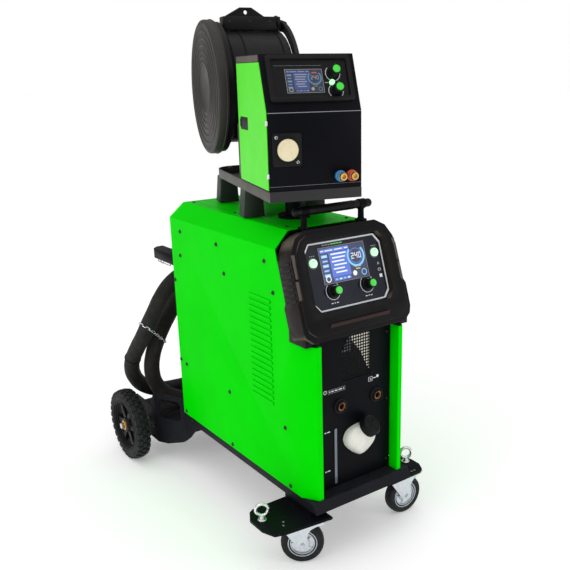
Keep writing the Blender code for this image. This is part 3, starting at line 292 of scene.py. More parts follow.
def coated(name, colour, rough=0.4, vary=0.08, grain=0.0009, depth=0.00008, wear=None, radius=0.0012,
           dust=0.0, tint=None, **more):
    """Powder coat or moulded plastic: patchy colour and gloss, fine texture, rounded and worn edges, dust.

    grain and depth are the texture's, in metres. wear is the colour of the bare edges, and how much it shows.
    """
    g = Graph(name)
    soft = g.soft_edge(radius)
    patches = g.span(g.noise(0.11, 4), 0.3, 0.7)
    base = g.mix(patches, scaled(colour, 1 - vary), scaled(colour, 1 + vary))
    specks = g.span(g.noise(grain * 3, 2), 0.55, 0.75, 0.0, 0.35)
    base = g.mix(specks, base, scaled(colour, 1 - 2.2 * vary))
    gloss = g.span(g.noise(0.05, 5, 0.65), 0.3, 0.72, rough - 0.07, rough + 0.09)
    if wear:
        bare, strength = wear
        chips = g.math("MULTIPLY", g.edge_mask(soft), g.span(g.noise(0.006, 5, 0.7), 0.5, 0.62))
        base = g.mix(g.math("MULTIPLY", chips, strength), base, bare)
    if dust:
        level = g.span(g.parts(g.add("NewGeometry").outputs["Normal"])["Z"], 0.4, 1.0)
        lying = g.math("MULTIPLY", level, g.span(g.noise(0.02, 6, 0.7), 0.35, 0.75, 0, dust))
        base = g.mix(lying, base, DUST)
        gloss = g.math("ADD", gloss, g.math("MULTIPLY", lying, 0.5))
    if tint:
        base = tint(g, base)
    height = g.math("ADD", g.noise(grain, 2), g.math("MULTIPLY", g.noise(grain * 9, 2), 1.2))
    return g.finish(base, gloss, normal=g.bump(height, depth, soft), **more)


def black_below(height):
    """A tint that is black under this height and on the face towards the front: the tray's feet and skirt.
    Elsewhere the tray shows its grey-brown, a painted reflection on black steel.
    """

    def tint(g, base):
        above = g.math("GREATER_THAN", g.parts(g.add("NewGeometry").outputs["Position"])["Z"], height)
        aside = g.math("GREATER_THAN", g.parts(g.add("TexCoord").outputs["Normal"])["Y"], -0.6)
        return g.mix(g.math("MULTIPLY", above, aside), (0.006, 0.006, 0.0075), base)

    return tint


def metallic(name, colour, rough=0.3, brushed=None, tarnish=(0.2, 0.19, 0.18), spots=0.15, radius=0.0008):
    """Bare or plated metal: tarnish spots, patchy gloss and, if brushed, a stretched grain."""
    g = Graph(name)
    soft = g.soft_edge(radius)
    base = g.mix(g.span(g.noise(0.012, 5, 0.65), 0.4, 0.75, 0.0, spots), colour, tarnish)
    gloss = g.span(g.noise(0.004, 5, 0.6), 0.3, 0.7, rough - 0.08, rough + 0.12)
    height = g.noise(0.0012, 3, 0.6, brushed) if brushed else g.noise(0.0015, 3)
    return g.finish(base, gloss, 1.0, g.bump(height, 0.00005, soft))


def rubbery(name, colour=(0.0085, 0.009, 0.0105), dusty=0.35, rough=0.66):
    """Dull rubber with a patchy film of dust."""
    g = Graph(name)
    soft = g.soft_edge(0.001)
    film = g.span(g.noise(0.018, 6, 0.7), 0.42, 0.72, 0.0, dusty)
    base = g.mix(film, colour, (0.045, 0.043, 0.040))
    height = g.math("ADD", g.noise(0.0011, 3, 0.6), g.noise(0.009, 4, 0.6))
    gloss = g.span(g.noise(0.012, 4), 0.3, 0.7, rough - 0.12, rough + 0.12)
    return g.finish(base, gloss, normal=g.bump(height, 0.00025, soft), Specular_IOR_Level=0.25)


def glowing(name, colour, strength=1.0, base=(0.01, 0.01, 0.012)):
    """A lit surface that is slightly uneven."""
    g = Graph(name)
    wash = g.span(g.noise(0.02, 2), 0.3, 0.7, 0.85, 1.0)
    g.put(g.shader.inputs["Emission Color"], g.mix(wash, scaled(colour, 0.8), colour))
    g.shader.inputs["Emission Strength"].default_value = strength
    return g.finish(g.mix(wash, base, scaled(base, 1.3)), 0.25)


def woven(name):
    """The hose's textile sleeve: a fine crossed weave along the tube's own UVs, with worn, dusty ridges."""
    threads, pitch = 34, 0.0046
    g = Graph(name)
    uv = g.parts(g.add("TexCoord").outputs["UV"])
    waves = []
    for sign in (1, -1):
        turn = g.math("MULTIPLY", uv["X"], sign * threads * TAU)
        along = g.math("MULTIPLY", uv["Y"], 1 / pitch * TAU)
        waves.append(g.math("SINE", g.math("ADD", turn, along)))
    weave = g.math("MULTIPLY", waves[0], waves[1])
    patch = g.span(g.noise(0.05, 5, 0.65), 0.35, 0.7)
    base = g.mix(patch, (0.005, 0.0044, 0.004), (0.017, 0.014, 0.012))
    base = g.mix(g.span(weave, -0.3, 1.0, 0.0, 0.4), base, (0.028, 0.024, 0.020))
    height = g.math("ADD", g.math("MULTIPLY", weave, 0.6), g.math("MULTIPLY", g.noise(0.02, 5, 0.6), 7))
    gloss = g.span(g.noise(0.03, 4), 0.3, 0.7, 0.55, 0.85)
    return g.finish(base, gloss, normal=g.bump(height, 0.0006), Specular_IOR_Level=0.25, Sheen_Weight=0.05)


def painted_reflection_by_facing(name, colour, slope, flank, rough):
    """The bezel's black plastic, tinted by facing as painted reflection: near black on its front, warm grey on
    its slopes and dark brown on its flanks.
    """
    g = Graph(name)
    soft = g.soft_edge(0.0022)
    aside = g.parts(g.add("NewGeometry").outputs["Normal"])["X"]
    # Painted reflection: sideways faces get warm grey, faces turned to -X dark brown.
    base = g.mix(g.span(g.math("ABSOLUTE", aside), 0.28, 0.5), colour, slope)
    base = g.mix(g.span(aside, -0.80, -0.90), base, flank)
    base = g.mix(g.span(g.noise(0.03, 5, 0.65), 0.4, 0.75, 0, 0.35), base, scaled(colour, 0.6))
    edge = g.edge_mask(soft, 0.03, 0.3)
    base = g.mix(g.math("MULTIPLY", edge, 0.2), base, (0.10, 0.09, 0.085))
    height = g.math("ADD", g.noise(0.0007, 2), g.noise(0.004, 3))
    gloss = g.span(g.noise(0.02, 4), 0.3, 0.7, rough - 0.08, rough + 0.1)
    return g.finish(base, gloss, normal=g.bump(height, 0.00012, soft), Specular_IOR_Level=0.12)


def milky(name, colour):
    """Translucent plastic, a little stained."""
    g = Graph(name)
    base = g.mix(g.span(g.noise(0.02, 4), 0.3, 0.7), scaled(colour, 0.9), colour)
    base = g.mix(g.span(g.noise(0.004, 5, 0.7), 0.62, 0.75, 0, 0.3), base, (0.35, 0.31, 0.24))
    height = g.math("ADD", g.noise(0.002, 3), g.noise(0.012, 3))
    gloss = g.span(g.noise(0.01, 3), 0.3, 0.7, 0.35, 0.5)
    return g.finish(base, gloss, normal=g.bump(height, 0.0001, g.soft_edge(0.0015)), Subsurface_Weight=0.15,
                    Subsurface_Radius=(0.004, 0.004, 0.003))


STEEL_WEAR = (0.30, 0.31, 0.32)
M = {}


def coats():
    """The big painted sheets and moulded covers."""
    M["green"] = coated("green_coat", (0.0, 0.72, 0.0), 0.36, 0.035, 0.0008, 0.00006, ((0.0, 0.30, 0.0), 0.5),
                        Specular_IOR_Level=0.02)
    M["light"] = coated("light_green_coat", (0.105, 0.80, 0.03), 0.36, 0.03, 0.0008, 0.00006,
                        ((0.02, 0.4, 0.01), 0.5), Specular_IOR_Level=0.06)
    M["black"] = coated("black_coat", (0.0042, 0.0044, 0.0064), 0.40, 0.2, 0.0007, 0.00007, (STEEL_WEAR, 0.2),
                        dust=0.01, Specular_IOR_Level=0.05)
    M["charcoal"] = coated("charcoal_coat", (0.0105, 0.0108, 0.0140), 0.46, 0.15, 0.0012, 0.00018,
                           (STEEL_WEAR, 0.3), dust=0.02, Specular_IOR_Level=0.08)
    # The tray is black steel; its grey-brown above the skirt is a painted reflection of the key light.
    M["tray"] = coated("grey_brown_coat", (0.075, 0.066, 0.058), 0.5, 0.1, 0.0012, 0.0002, (STEEL_WEAR, 0.4),
                       dust=0.1, tint=black_below(0.9925))
    M["grille"] = coated("grille_black", (0.0028, 0.003, 0.004), 0.6, 0.2, 0.0007, 0.00002, radius=0.0001,
                         Specular_IOR_Level=0.1)
    M["plastic"] = coated("black_plastic", (0.0055, 0.0056, 0.0066), 0.42, 0.15, 0.0008, 0.0001,
                          ((0.05, 0.05, 0.05), 0.35), radius=0.0016, dust=0.01, Specular_IOR_Level=0.16)
    # The spool cover is black plastic; its grey-brown is a painted reflection.
    M["cover"] = coated("grey_brown_plastic", (0.030, 0.0265, 0.0245), 0.47, 0.1, 0.0009, 0.00016,
                        ((0.2, 0.18, 0.16), 0.5), radius=0.002, dust=0.03, Specular_IOR_Level=0.25)
    # The bezel is black plastic; its warm grey and brown by facing are painted reflection.
    M["bezel"] = painted_reflection_by_facing("bezel_plastic", (0.0045, 0.0045, 0.0055), (0.105, 0.080, 0.062),
                          (0.017, 0.013, 0.011), 0.40)
    # Taupe plastic for the bezel's inserts; also the feeder side's painted reflection strip.
    M["taupe"] = coated("taupe_plastic", (0.078, 0.062, 0.051), 0.5, 0.14, 0.0009, 0.0002,
                        ((0.18, 0.16, 0.14), 0.5))
    M["fascia"] = coated("gloss_overlay", (0.0045, 0.006, 0.016), 0.2, 0.1, 0.004, 0.00002, radius=0.0008,
                         Specular_IOR_Level=0.12, Coat_Weight=0.05)
    M["name_strip"] = coated("dark_brown_overlay", (0.020, 0.006, 0.004), 0.3, 0.15, 0.002, 0.00003,
                             Specular_IOR_Level=0.2)


def rubbers_and_metals():
    M["rubber"] = rubbery("tyre_rubber")
    M["hose_rubber"] = rubbery("hose_rubber", (0.008, 0.008, 0.009), 0.3, 0.5)
    M["zinc"] = metallic("zinc_plate", (0.66, 0.70, 0.735), 0.34, (1, 1, 14), (0.42, 0.45, 0.50), 0.5)
    M["steel"] = metallic("bright_steel", (0.80, 0.81, 0.82), 0.22)
    M["dark_steel"] = metallic("blackened_steel", (0.055, 0.055, 0.06), 0.4, None, (0.02, 0.02, 0.02), 0.4)
    M["brass"] = metallic("turned_brass", (0.80, 0.50, 0.15), 0.26, (1, 1, 20), (0.30, 0.17, 0.05), 0.35)
    M["copper"] = metallic("dull_copper", (0.45, 0.22, 0.10), 0.36, (1, 1, 20), (0.12, 0.06, 0.03), 0.5)
    M["aluminium"] = metallic("cast_aluminium", (0.74, 0.75, 0.77), 0.4, None, (0.4, 0.4, 0.42), 0.4)
    M["cream"] = milky("cream_plastic", (0.84, 0.74, 0.50))
    M["groove"] = metallic("oiled_steel", (0.045, 0.062, 0.072), 0.35, None, (0.02, 0.03, 0.035), 0.4)
    M["white"] = milky("white_plastic", (0.86, 0.85, 0.78))


def small_finishes():
    """Coloured plastics and sleeves, print, the lit buttons and displays, and the painted light behind the
    grille.
    """
    M["knob_green"] = coated("gloss_green_plastic", (0.025, 0.66, 0.02), 0.25, 0.06, 0.002, 0.00004,
                             Coat_Weight=0.3)
    M["blue"] = coated("blue_anodised", (0.015, 0.23, 0.50), 0.28, 0.1, 0.001, 0.00004,
                       ((0.5, 0.6, 0.7), 0.5), Coat_Weight=0.4)
    M["red"] = coated("red_anodised", (0.58, 0.055, 0.015), 0.28, 0.1, 0.001, 0.00004, ((0.8, 0.5, 0.4), 0.5),
                      Coat_Weight=0.4)
    M["print"] = coated("white_print", (0.80, 0.81, 0.84), 0.4, 0.05, 0.001, 0.00002)
    M["grey_print"] = coated("grey_print", (0.27, 0.28, 0.30), 0.4, 0.08, 0.001, 0.00002)
    # Dark joints, and painted shade in slits, recesses and behind the grille.
    M["void"] = coated("dark_inside", (0.003, 0.003, 0.0035), 0.7, 0.2)
    M["sight"] = coated("sight_glass", (0.13, 0.16, 0.21), 0.16, 0.15, 0.004, 0.00004, Coat_Weight=0.5)
    M["sleeve"] = woven("hose_sleeve")
    M["leather"] = rubbery("hose_cuff", (0.011, 0.010, 0.0095), 0.35, 0.6)
    M["lit"] = glowing("lit_button", (0.42, 1.0, 0.48), 1.0, (0.3, 0.7, 0.32))
    M["lit_core"] = glowing("lit_core", (0.05, 0.62, 0.10), 0.9)
    for key, colour, strength in (("lcd_back", (0.012, 0.028, 0.10), 0.8),
                                  ("lcd_blue", (0.07, 0.17, 0.70), 1.0),
                                  ("lcd_sky", (0.20, 0.58, 0.95), 1.05),
                                  ("lcd_white", (0.88, 0.92, 1.0), 1.0),
                                  ("lcd_warm", (0.80, 0.55, 0.12), 1.0),
                                  ("lcd_red", (0.62, 0.05, 0.05), 1.0)):
        M[key] = glowing(key, colour, strength)
        M[key + "_dim"] = glowing(key + "_dim", colour, strength * (0.9 if key == "lcd_red" else 0.3))
    # Not a lamp: painted light seen through the front grille.
    M["grille_light"] = glowing("grille_light", (0.62, 0.60, 0.52), 0.9)


# ---------------------------------------------------------------- shapes


def bevelled(bm, width, segments=2, angle=0.55):
    """The mesh with every edge sharper than this angle rounded."""
    edges = [e for e in bm.edges if len(e.link_faces) == 2 and e.calc_face_angle(0) > angle]
    if edges and width:
        bmesh.ops.bevel(bm, geom=edges, offset=width, segments=segments, profile=0.5, affect="EDGES",
                        clamp_overlap=True)
    return bm


def slab(outline, low, high, width=0.0, segments=2):
    """An outline in x and y, made solid from low to high along z, with rounded edges."""
    bm = bmesh.new()
    a = [bm.verts.new((x, y, low)) for x, y in outline]
    b = [bm.verts.new((x, y, high)) for x, y in outline]
    bm.faces.new(a[::-1])
    bm.faces.new(b)
    for i in range(len(a)):
        j = (i + 1) % len(a)
        bm.faces.new((a[i], a[j], b[j], b[i]))
    return bevelled(bm, width, segments)


def box(low, high, width=0.0006, segments=2):
    (x0, y0, z0), (x1, y1, z1) = low, high
    return slab([(x0, y0), (x1, y0), (x1, y1), (x0, y1)], z0, z1, width, segments)


def ring_plate(outer, inner, low, high, width=0.0):
    """A frame between two outlines with the same number of points."""
    bm = bmesh.new()
    n = len(outer)
    rows = [
        [bm.verts.new((x, y, z)) for x, y in line]
        for line, z in ((outer, low), (outer, high), (inner, high), (inner, low))
    ]
    for k in range(4):
        for i in range(n):
            j = (i + 1) % n
            bm.faces.new((rows[k][i], rows[k][j], rows[(k + 1) % 4][j], rows[(k + 1) % 4][i]))
    return bevelled(bm, width)


def lathe(profile, steps=48):
    """The profile's (radius, z) points turned round z. It runs anticlockwise, seen with r to the right."""
    bm = bmesh.new()
    rings = []
    for r, z in profile:
        if r < 1e-7:
            rings.append([bm.verts.new((0, 0, z))])
        else:
            rings.append([bm.verts.new((r * math.cos(TAU * k / steps), r * math.sin(TAU * k / steps),
                                        z)) for k in range(steps)])
    for a, b in zip(rings, rings[1:]):
        for k in range(steps):
            j = (k + 1) % steps
            if len(a) == 1 and len(b) == 1:
                break
            if len(a) == 1:
                bm.faces.new((a[0], b[j], b[k]))
            elif len(b) == 1:
                bm.faces.new((a[k], a[j], b[0]))
            else:
                bm.faces.new((a[k], a[j], b[j], b[k]))
    return bm


def rounded(half_w, half_h, r, n=5, cx=0.0, cy=0.0):
    """A rectangle's outline with rounded corners."""
    made = []
    for sx, sy, start in ((1, -1, -90), (1, 1, 0), (-1, 1, 90), (-1, -1, 180)):
        for k in range(n + 1):
            a = math.radians(start + 90 * k / n)
            made.append((cx + sx * (half_w - r) + r * math.cos(a), cy + sy * (half_h - r) + r * math.sin(a)))
    return made


def circle(r, n=32, cx=0.0, cy=0.0, turn=0.0):
    return [(cx + r * math.cos(TAU * k / n + turn), cy + r * math.sin(TAU * k / n + turn)) for k in range(n)]


def arc_band(r0, r1, start, end, z, n=32):
    """A flat band along an arc, in degrees."""
    bm = bmesh.new()
    rows = []
    for k in range(n + 1):
        a = math.radians(start + (end - start) * k / n)
        rows.append([bm.verts.new((r * math.cos(a), r * math.sin(a), z)) for r in (r0, r1)])
    for a, b in zip(rows, rows[1:]):
        bm.faces.new((a[0], a[1], b[1], b[0]))
    return bm


def flat(outline, z):
    bm = bmesh.new()
    bm.faces.new([bm.verts.new((x, y, z)) for x, y in outline])
    return bm


def patch(u0, v0, u1, v1, z):
    return flat([(u0, v0), (u1, v0), (u1, v1), (u0, v1)], z)


def smooth_line(route, count, closed=False):
    """Evenly spaced points on a Catmull-Rom curve through the route."""
    route = [Vector(p) for p in route]
    n = len(route)
    fine = []
    for i in range(n if closed else n - 1):
        if closed:
            a, b, c, d = (route[(i + k) % n] for k in (-1, 0, 1, 2))
        else:
            b, c = route[i], route[i + 1]
            a = route[i - 1] if i else 2 * b - c
            d = route[i + 2] if i + 2 < n else 2 * c - b
        for k in range(16):
            t = k / 16
            q = 2 * b + (c - a) * t + (2 * a - 5 * b + 4 * c - d) * t * t + (3 * b - a - 3 * c + d) * t**3
            fine.append(q / 2)
    fine.append(route[0] if closed else route[-1])
    steps = [0.0]
    for a, b in zip(fine, fine[1:]):
        steps.append(steps[-1] + (b - a).length)
    points = []
    k = 0
    for i in range(count):
        wanted = steps[-1] * i / (count if closed else count - 1)
        while k < len(fine) - 2 and steps[k + 1] < wanted:
            k += 1
        share = (wanted - steps[k]) / max(steps[k + 1] - steps[k], 1e-9)
        points.append(fine[k].lerp(fine[k + 1], min(share, 1.0)))
    return points


def sweep(points, radius, sides=12, closed=False, uv=False):
    """A tube along the points. radius is a number, or a function of the share of the way and of the angle."""
    points = [Vector(p) for p in points]
    n = len(points)
    tangents = []
    for i in range(n):
        a = points[i - 1] if closed or i else points[0]
        b = points[(i + 1) % n] if closed or i < n - 1 else points[-1]
        tangents.append((b - a).normalized())
    normal = tangents[0].orthogonal().normalized()
    bm = bmesh.new()
    layer = bm.loops.layers.uv.new("UVMap") if uv else None
    rings, far, fars = [], 0.0, []
    for i in range(n):
        if i:
            normal = (normal - tangents[i] * normal.dot(tangents[i])).normalized()
            far += (points[i] - points[i - 1]).length
        side = tangents[i].cross(normal)
        ring = []
        for k in range(sides):
            angle = TAU * k / sides
            r = radius(i / (n - 1), angle) if callable(radius) else radius
            ring.append(bm.verts.new(points[i] + (normal * math.cos(angle) + side * math.sin(angle)) * r))
        rings.append(ring)
        fars.append(far)
    for i in range(n if closed else n - 1):
        a, b = rings[i], rings[(i + 1) % n]
        for k in range(sides):
            j = (k + 1) % sides
            face = bm.faces.new((a[k], a[j], b[j], b[k]))
            if uv:
                for loop, (u, v) in zip(face.loops, ((k, i), (k + 1, i), (k + 1, i + 1), (k, i + 1))):
                    loop[layer].uv = (u / sides, fars[min(v, n - 1)])
    if not closed:
        bm.faces.new(rings[0][::-1])
        bm.faces.new(rings[-1])
    return bm


def hoop(r, z, wire, count, sides=6):
    """A ring of wire at this height."""
    return sweep([(x, y, z) for x, y in circle(r, count)], wire, sides, True)


class Piece:
    """One named object, put together from shapes with their own materials."""

    def __init__(self, name, body, place=None):
        self.name, self.body, self.place = name, body, place or Matrix()
        self.bm, self.materials = bmesh.new(), []

    def add(self, bm, material, at=None):
        where = self.place @ (at or Matrix())
        made = M[material]
        if made not in self.materials:
            self.materials.append(made)
        index = self.materials.index(made)
        bm.transform(where)
        if where.determinant() < 0:
            bmesh.ops.reverse_faces(bm, faces=bm.faces)
        for f in bm.faces:
            f.material_index = index
        mesh = bpy.data.meshes.new("part")
        bm.to_mesh(mesh)
        bm.free()
        self.bm.from_mesh(mesh)
        bpy.data.meshes.remove(mesh)

    def object(self, angle=38):
        mesh = bpy.data.meshes.new(self.name)
        self.bm.to_mesh(mesh)
        self.bm.free()
        for made in self.materials:
            mesh.materials.append(made)
        mesh.shade_smooth()
        mesh.set_sharp_from_angle(angle=math.radians(angle))
        return linked(self.name, mesh)

    def done(self, slot=None, replaces=(), angle=38):
        obj = self.object(angle)
        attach(obj, self.body)
        if replaces:
            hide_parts(*replaces)
        return obj


def add_screw(piece, at, r=0.0048, height=0.0026, material="dark_steel", drive="hex"):
    """A button-head screw along the place's z axis, with a socket or a cross."""
    s = r * 0.5
    piece.add(
        lathe([(r, 0), (r, height * 0.35), (r * 0.93, height * 0.7), (r * 0.72, height), (s, height),
               (s, height * 0.35), (0, height * 0.35)], 20),
        material, at)
    if drive == "cross":
        # The cross is two dark boxes in the head: painted shade for its recess.
        for turn in (0.3, 0.3 + math.pi / 2):
            piece.add(box((-s * 1.5, -s * 0.22, height * 0.3), (s * 1.5, s * 0.22, height * 1.02), 0), "void",
                      at @ rotation(turn))


def add_bolt(piece, at, r=0.0065, height=0.005, material="zinc"):
    """A hexagon head on a washer."""
    piece.add(lathe([(r * 1.5, 0), (r * 1.5, height * 0.2), (0, height * 0.2)], 24), material, at)
    piece.add(slab(circle(r * 1.08, 6, turn=0.2), height * 0.2, height, r * 0.12), material, at)


def screws(name, body, place, spots, lift, r, height):
    """A piece of equal screws at these spots on a face."""
    piece = Piece(name, body, place)
    for x, y in spots:
        add_screw(piece, shift(x, y, lift), r, height)
    piece.done("zinc")


def grid(xs, ys):
    """Every x with every y."""
    return [(x, y) for x in xs for y in ys]


CAD_LOOKS = {
    "chassis_frame": "charcoal", "outrigger": "black", "rear_axle": "zinc", "caster_fork": "zinc",
    "bottle_cradle": "black", "side_panel": "green", "top_cover": "green", "rear_panel": "black",
    "front_panel": "black", "coolant_filler_neck": "white", "coolant_cap": "plastic", "swivel_post": "black",
    "top_handle": "black", "inverter": "aluminium", "coolant_tank": "white", "cooling_fan": "plastic",
    "mains": "plastic", "control_bezel": "bezel", "control_fascia": "fascia", "panel_button": "lit",
    "feeder_button": "lit", "feeder_tray": "tray", "feeder_casing": "black", "feeder_fascia": "plastic",
    "torch_flange": "plastic", "torch_socket_cap": "cream", "coolant_coupling_blue": "blue",
    "coolant_coupling_red": "red", "feeder_door": "light", "door_latch": "plastic", "wire_drive": "aluminium",
    "drive_roll": "zinc", "pressure_arm": "plastic", "spool_housing": "plastic", "wire_spool": "copper",
    "spool_cover": "cover", "spool_bracket": "plastic", "output_socket": "brass", "panel_knob": "plastic",
    "feeder_knob": "plastic", "caster_tyre": "rubber", "caster_rim": "zinc", "rear_tyre": "rubber",
    "rear_rim": "plastic", "hose": "sleeve", "feeder_hose": "hose_rubber",
}
ROUND_EDGES = {
    "outrigger_left": 0.0012, "outrigger_right": 0.0012, "bottle_cradle": 0.003, "feeder_tray": 0.0012,
    "control_bezel": 0.0028, "feeder_fascia": 0.0012, "torch_flange": 0.0015, "feeder_casing": 0.003,
    "spool_bracket": 0.003, "door_latch": 0.0015, "caster_fork_left": 0.0006, "caster_fork_right": 0.0006,
}


def dress_cad():
    """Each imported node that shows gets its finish, smooth round faces and crisp or rounded edges."""
    for name, obj in NODES.items():
        key = max((k for k in CAD_LOOKS if name.startswith(k)), key=len)
        obj.data.materials.clear()
        obj.data.materials.append(M[CAD_LOOKS[key]])
        obj.data.polygons.foreach_set("use_smooth", [True] * len(obj.data.polygons))
        weld = obj.modifiers.new("weld", "WELD")
        weld.merge_threshold = 0.00002
        if name in ROUND_EDGES:
            bevel = obj.modifiers.new("bevel", "BEVEL")
            bevel.width, bevel.segments, bevel.limit_method = ROUND_EDGES[name], 2, "ANGLE"
            bevel.angle_limit = math.radians(40)
        split = obj.modifiers.new("split", "EDGE_SPLIT")
        split.split_angle = math.radians(38)


# ---------------------------------------------------------------- cart


TYRE_HALF = 0.0235
TREAD_BLOCKS = 30
TREAD_ROWS = ((-0.0228, -0.0085, 0.0), (-0.0062, 0.0062, 0.5), (0.0085, 0.0228, 0.0))  # z, z, turn in blocks


def rear_tyre(name, body, place):
    """A pneumatic tyre with three rows of tread blocks. The outer rows slope down at the shoulders."""
    tyre = Piece("tyre_" + name, body, place)
    tyre.add(lathe([(0.083, -0.019), (0.090, -TYRE_HALF), (0.106, -TYRE_HALF - 0.0012), (0.1155, -0.0205),
                    (0.1192, -0.0145), (0.1205, 0), (0.1192, 0.0145), (0.1155, 0.0205),
                    (0.106, TYRE_HALF + 0.0012), (0.090, TYRE_HALF), (0.083, 0.019), (0.083, -0.019)], 72),
             "rubber")
    for k in range(TREAD_BLOCKS):
        for row, (x0, x1, turn) in enumerate(TREAD_ROWS):
            middle = row == 1
            block = box((0.1155 if middle else 0.1125, -0.0082, x0), (0.1243, 0.0082, x1), 0.0016)
            for v in block.verts:
                if not middle and abs(v.co.z) > 0.015 and v.co.x > 0.118:
                    v.co.x -= 0.0042
            tyre.add(block, "rubber", rotation(TAU * (k + turn) / TREAD_BLOCKS))
    for side in (-1, 1):
        for r in (0.0885, 0.1005):
            tyre.add(hoop(r, side * (TYRE_HALF + 0.0006), 0.0011, 64), "rubber")
    tyre.done("rubber", ["rear_tyre_" + name])


def rear_rim(name, body, place):
    """A six-spoke plastic rim, with a brass hub nut on its outer side."""
    rim = Piece("rim_" + name, body, place)
    for side in (1, -1):
        flip = rotation(0 if side > 0 else math.pi, "X")
        rim.add(lathe([(0.062, 0.003), (0.076, 0.006), (0.0835, 0.0205), (0.0855, 0.0212), (0.0855, 0.019),
                       (0.0835, 0.0165)], 56), "plastic", flip)
        for k in range(6):
            spoke = slab([(0.016, -0.0105), (0.060, -0.0065), (0.074, -0.0105), (0.074, 0.0105),
                          (0.060, 0.0065), (0.016, 0.0105)], 0.002, 0.0125, 0.0022)
            rim.add(spoke, "plastic", flip @ rotation(TAU * k / 6))
        rim.add(lathe([(0.028, 0), (0.026, 0.016), (0.0235, 0.019), (0.0165, 0.0205), (0, 0.0205)], 32),
                "plastic", flip)
    rim.add(lathe([(0.0835, -0.019), (0.0835, 0.019), (0.079, 0.014), (0.079, -0.014), (0.0835, -0.019)], 56),
            "plastic")
    rim.add(lathe([(0.0165, 0.0205), (0.0165, 0.0232), (0.0135, 0.0238), (0.0075, 0.0238)], 28), "brass")
    rim.add(slab(circle(0.0118, 6), 0.0232, 0.0290, 0.0012), "brass")
    rim.add(lathe([(0.0062, 0.0288), (0.0062, 0.0325), (0.0045, 0.0338), (0, 0.0338)], 20), "zinc")
    rim.done("black_plastic", ["rear_rim_" + name])


def rear_wheels():
    for name, sign in (("left", -1), ("right", 1)):
        body, place = "rear_wheel_" + name, facing((sign * WHEEL_X, AXLE_Y, WHEEL_R), (sign, 0, 0))
        rear_tyre(name, body, place)
        rear_rim(name, body, place)


def caster_wheel(name, place):
    """A rubber tyre on a zinc disc with a dark groove and five short ribs on each face."""
    body = "caster_wheel_" + name
    tyre = Piece("caster_ring_" + name, body, place)
    tyre.add(lathe([(0.0405, -0.013), (0.048, -0.0152), (0.0552, -0.0148), (0.0582, -0.012), (0.0596, -0.006),
                    (CASTER_R, 0), (0.0596, 0.006), (0.0582, 0.012), (0.0552, 0.0148), (0.048, 0.0152),
                    (0.0405, 0.013), (0.0405, -0.013)], 64), "rubber")
    tyre.done("rubber", ["caster_tyre_" + name])
    rim = Piece("caster_disc_" + name, body, place)
    for turn in (0, math.pi):
        side = rotation(turn, "X")
        rim.add(lathe([(0.0405, 0.0095), (0.0405, 0.0146), (0.0388, 0.0150), (0.0376, 0.0120),
                       (0.0350, 0.0116), (0.0334, 0.0142), (0.0318, 0.0142), (0.0306, 0.0090),
                       (0.0200, 0.0082), (0.0180, 0.0125), (0.0120, 0.0150), (0.0, 0.0150)], 56), "zinc",
                side)
        rim.add(lathe([(0.0387, 0.0120), (0.0384, 0.0134), (0.0342, 0.0134), (0.0338, 0.0120)], 56), "groove",
                side)
        for k in range(5):
            rim.add(box((0.0195, -0.0014, 0.006), (0.0312, 0.0014, 0.0112), 0.0006), "zinc",
                    side @ rotation(TAU * k / 5))
    rim.done("zinc", ["caster_rim_" + name])


def caster_fork(name, centre, place, heading):
    """The axle's bolts and the fork's wide cheeks, whose outline is in axes along the heading and upwards."""
    body, cos, sin = "caster_" + name, math.cos(heading), math.sin(heading)
    bolts = Piece("caster_bolts_" + name, body, place)
    for turn in (0, math.pi):
        add_bolt(bolts, rotation(turn, "X") @ shift(0, 0, 0.0206), 0.0068, 0.0062)
    bolts.done("zinc")
    cheeks = Piece("caster_cheeks_" + name, body, axes(centre, (cos, sin, 0), (0, 0, 1), (sin, -cos, 0)))
    outline = [(-0.050, 0.084), (-0.060, 0.076), (-0.061, 0.062), (-0.052, 0.048), (-0.019, 0.000),
               (-0.013, -0.012), (0.000, -0.017), (0.013, -0.012), (0.0165, 0.000), (0.0135, 0.022),
               (0.0155, 0.036), (0.024, 0.048), (0.040, 0.057), (0.059, 0.061), (0.062, 0.068),
               (0.052, 0.076), (0.030, 0.084)][::-1]
    for z in (-0.0226, 0.0188):
        cheeks.add(slab(outline, z, z + 0.0038, 0.0006), "zinc")
    cheeks.add(box((-0.049, 0.0800, -0.0200), (0.029, 0.0836, 0.0200), 0.0005), "zinc")
    cheeks.done("zinc")


def caster_plate(name, x, y):
    """The swivel's square plate under the outrigger, and its four screws on top."""
    plate = Piece("caster_plate_" + name, "chassis", shift(x, y, 0.1530))
    plate.add(slab(rounded(0.046, 0.038, 0.006, 4), 0, 0.0029, 0.0004), "zinc")
    plate.add(lathe([(0.0325, -0.0050), (0.0325, -0.0005), (0.0300, 0.0004), (0.0, 0.0004), (0.0, -0.0050),
                     (0.0325, -0.0050)], 40), "zinc")
    plate.done("zinc")
    heads = Piece("caster_plate_screws_" + name, "chassis", shift(x, y, OUTRIGGER_TOP))
    for dx, dy in grid((-0.0355, 0.0355), (-0.029, 0.029)):
        heads.add(lathe([(0.0052, 0), (0.0049, 0.0010), (0.0030, 0.0016), (0, 0.0017)], 20), "black",
                  shift(dx, dy, 0))
    heads.done("black_paint")


def casters():
    """Both front casters. Each is turned to its own heading, and its wheel trails behind the pivot."""
    for name, sign, degrees in (("left", -1, -34), ("right", 1, -3)):
        heading = math.radians(degrees)
        pivot = Vector((sign * CASTER_X, CASTER_Y, 0))
        trail = Vector((CASTER_TRAIL * math.cos(heading), CASTER_TRAIL * math.sin(heading), CASTER_R))
        place = facing(pivot + trail, (-math.sin(heading), math.cos(heading), 0))
        caster_wheel(name, place)
        caster_fork(name, pivot + trail, place, heading)
        caster_plate(name, pivot.x, pivot.y)


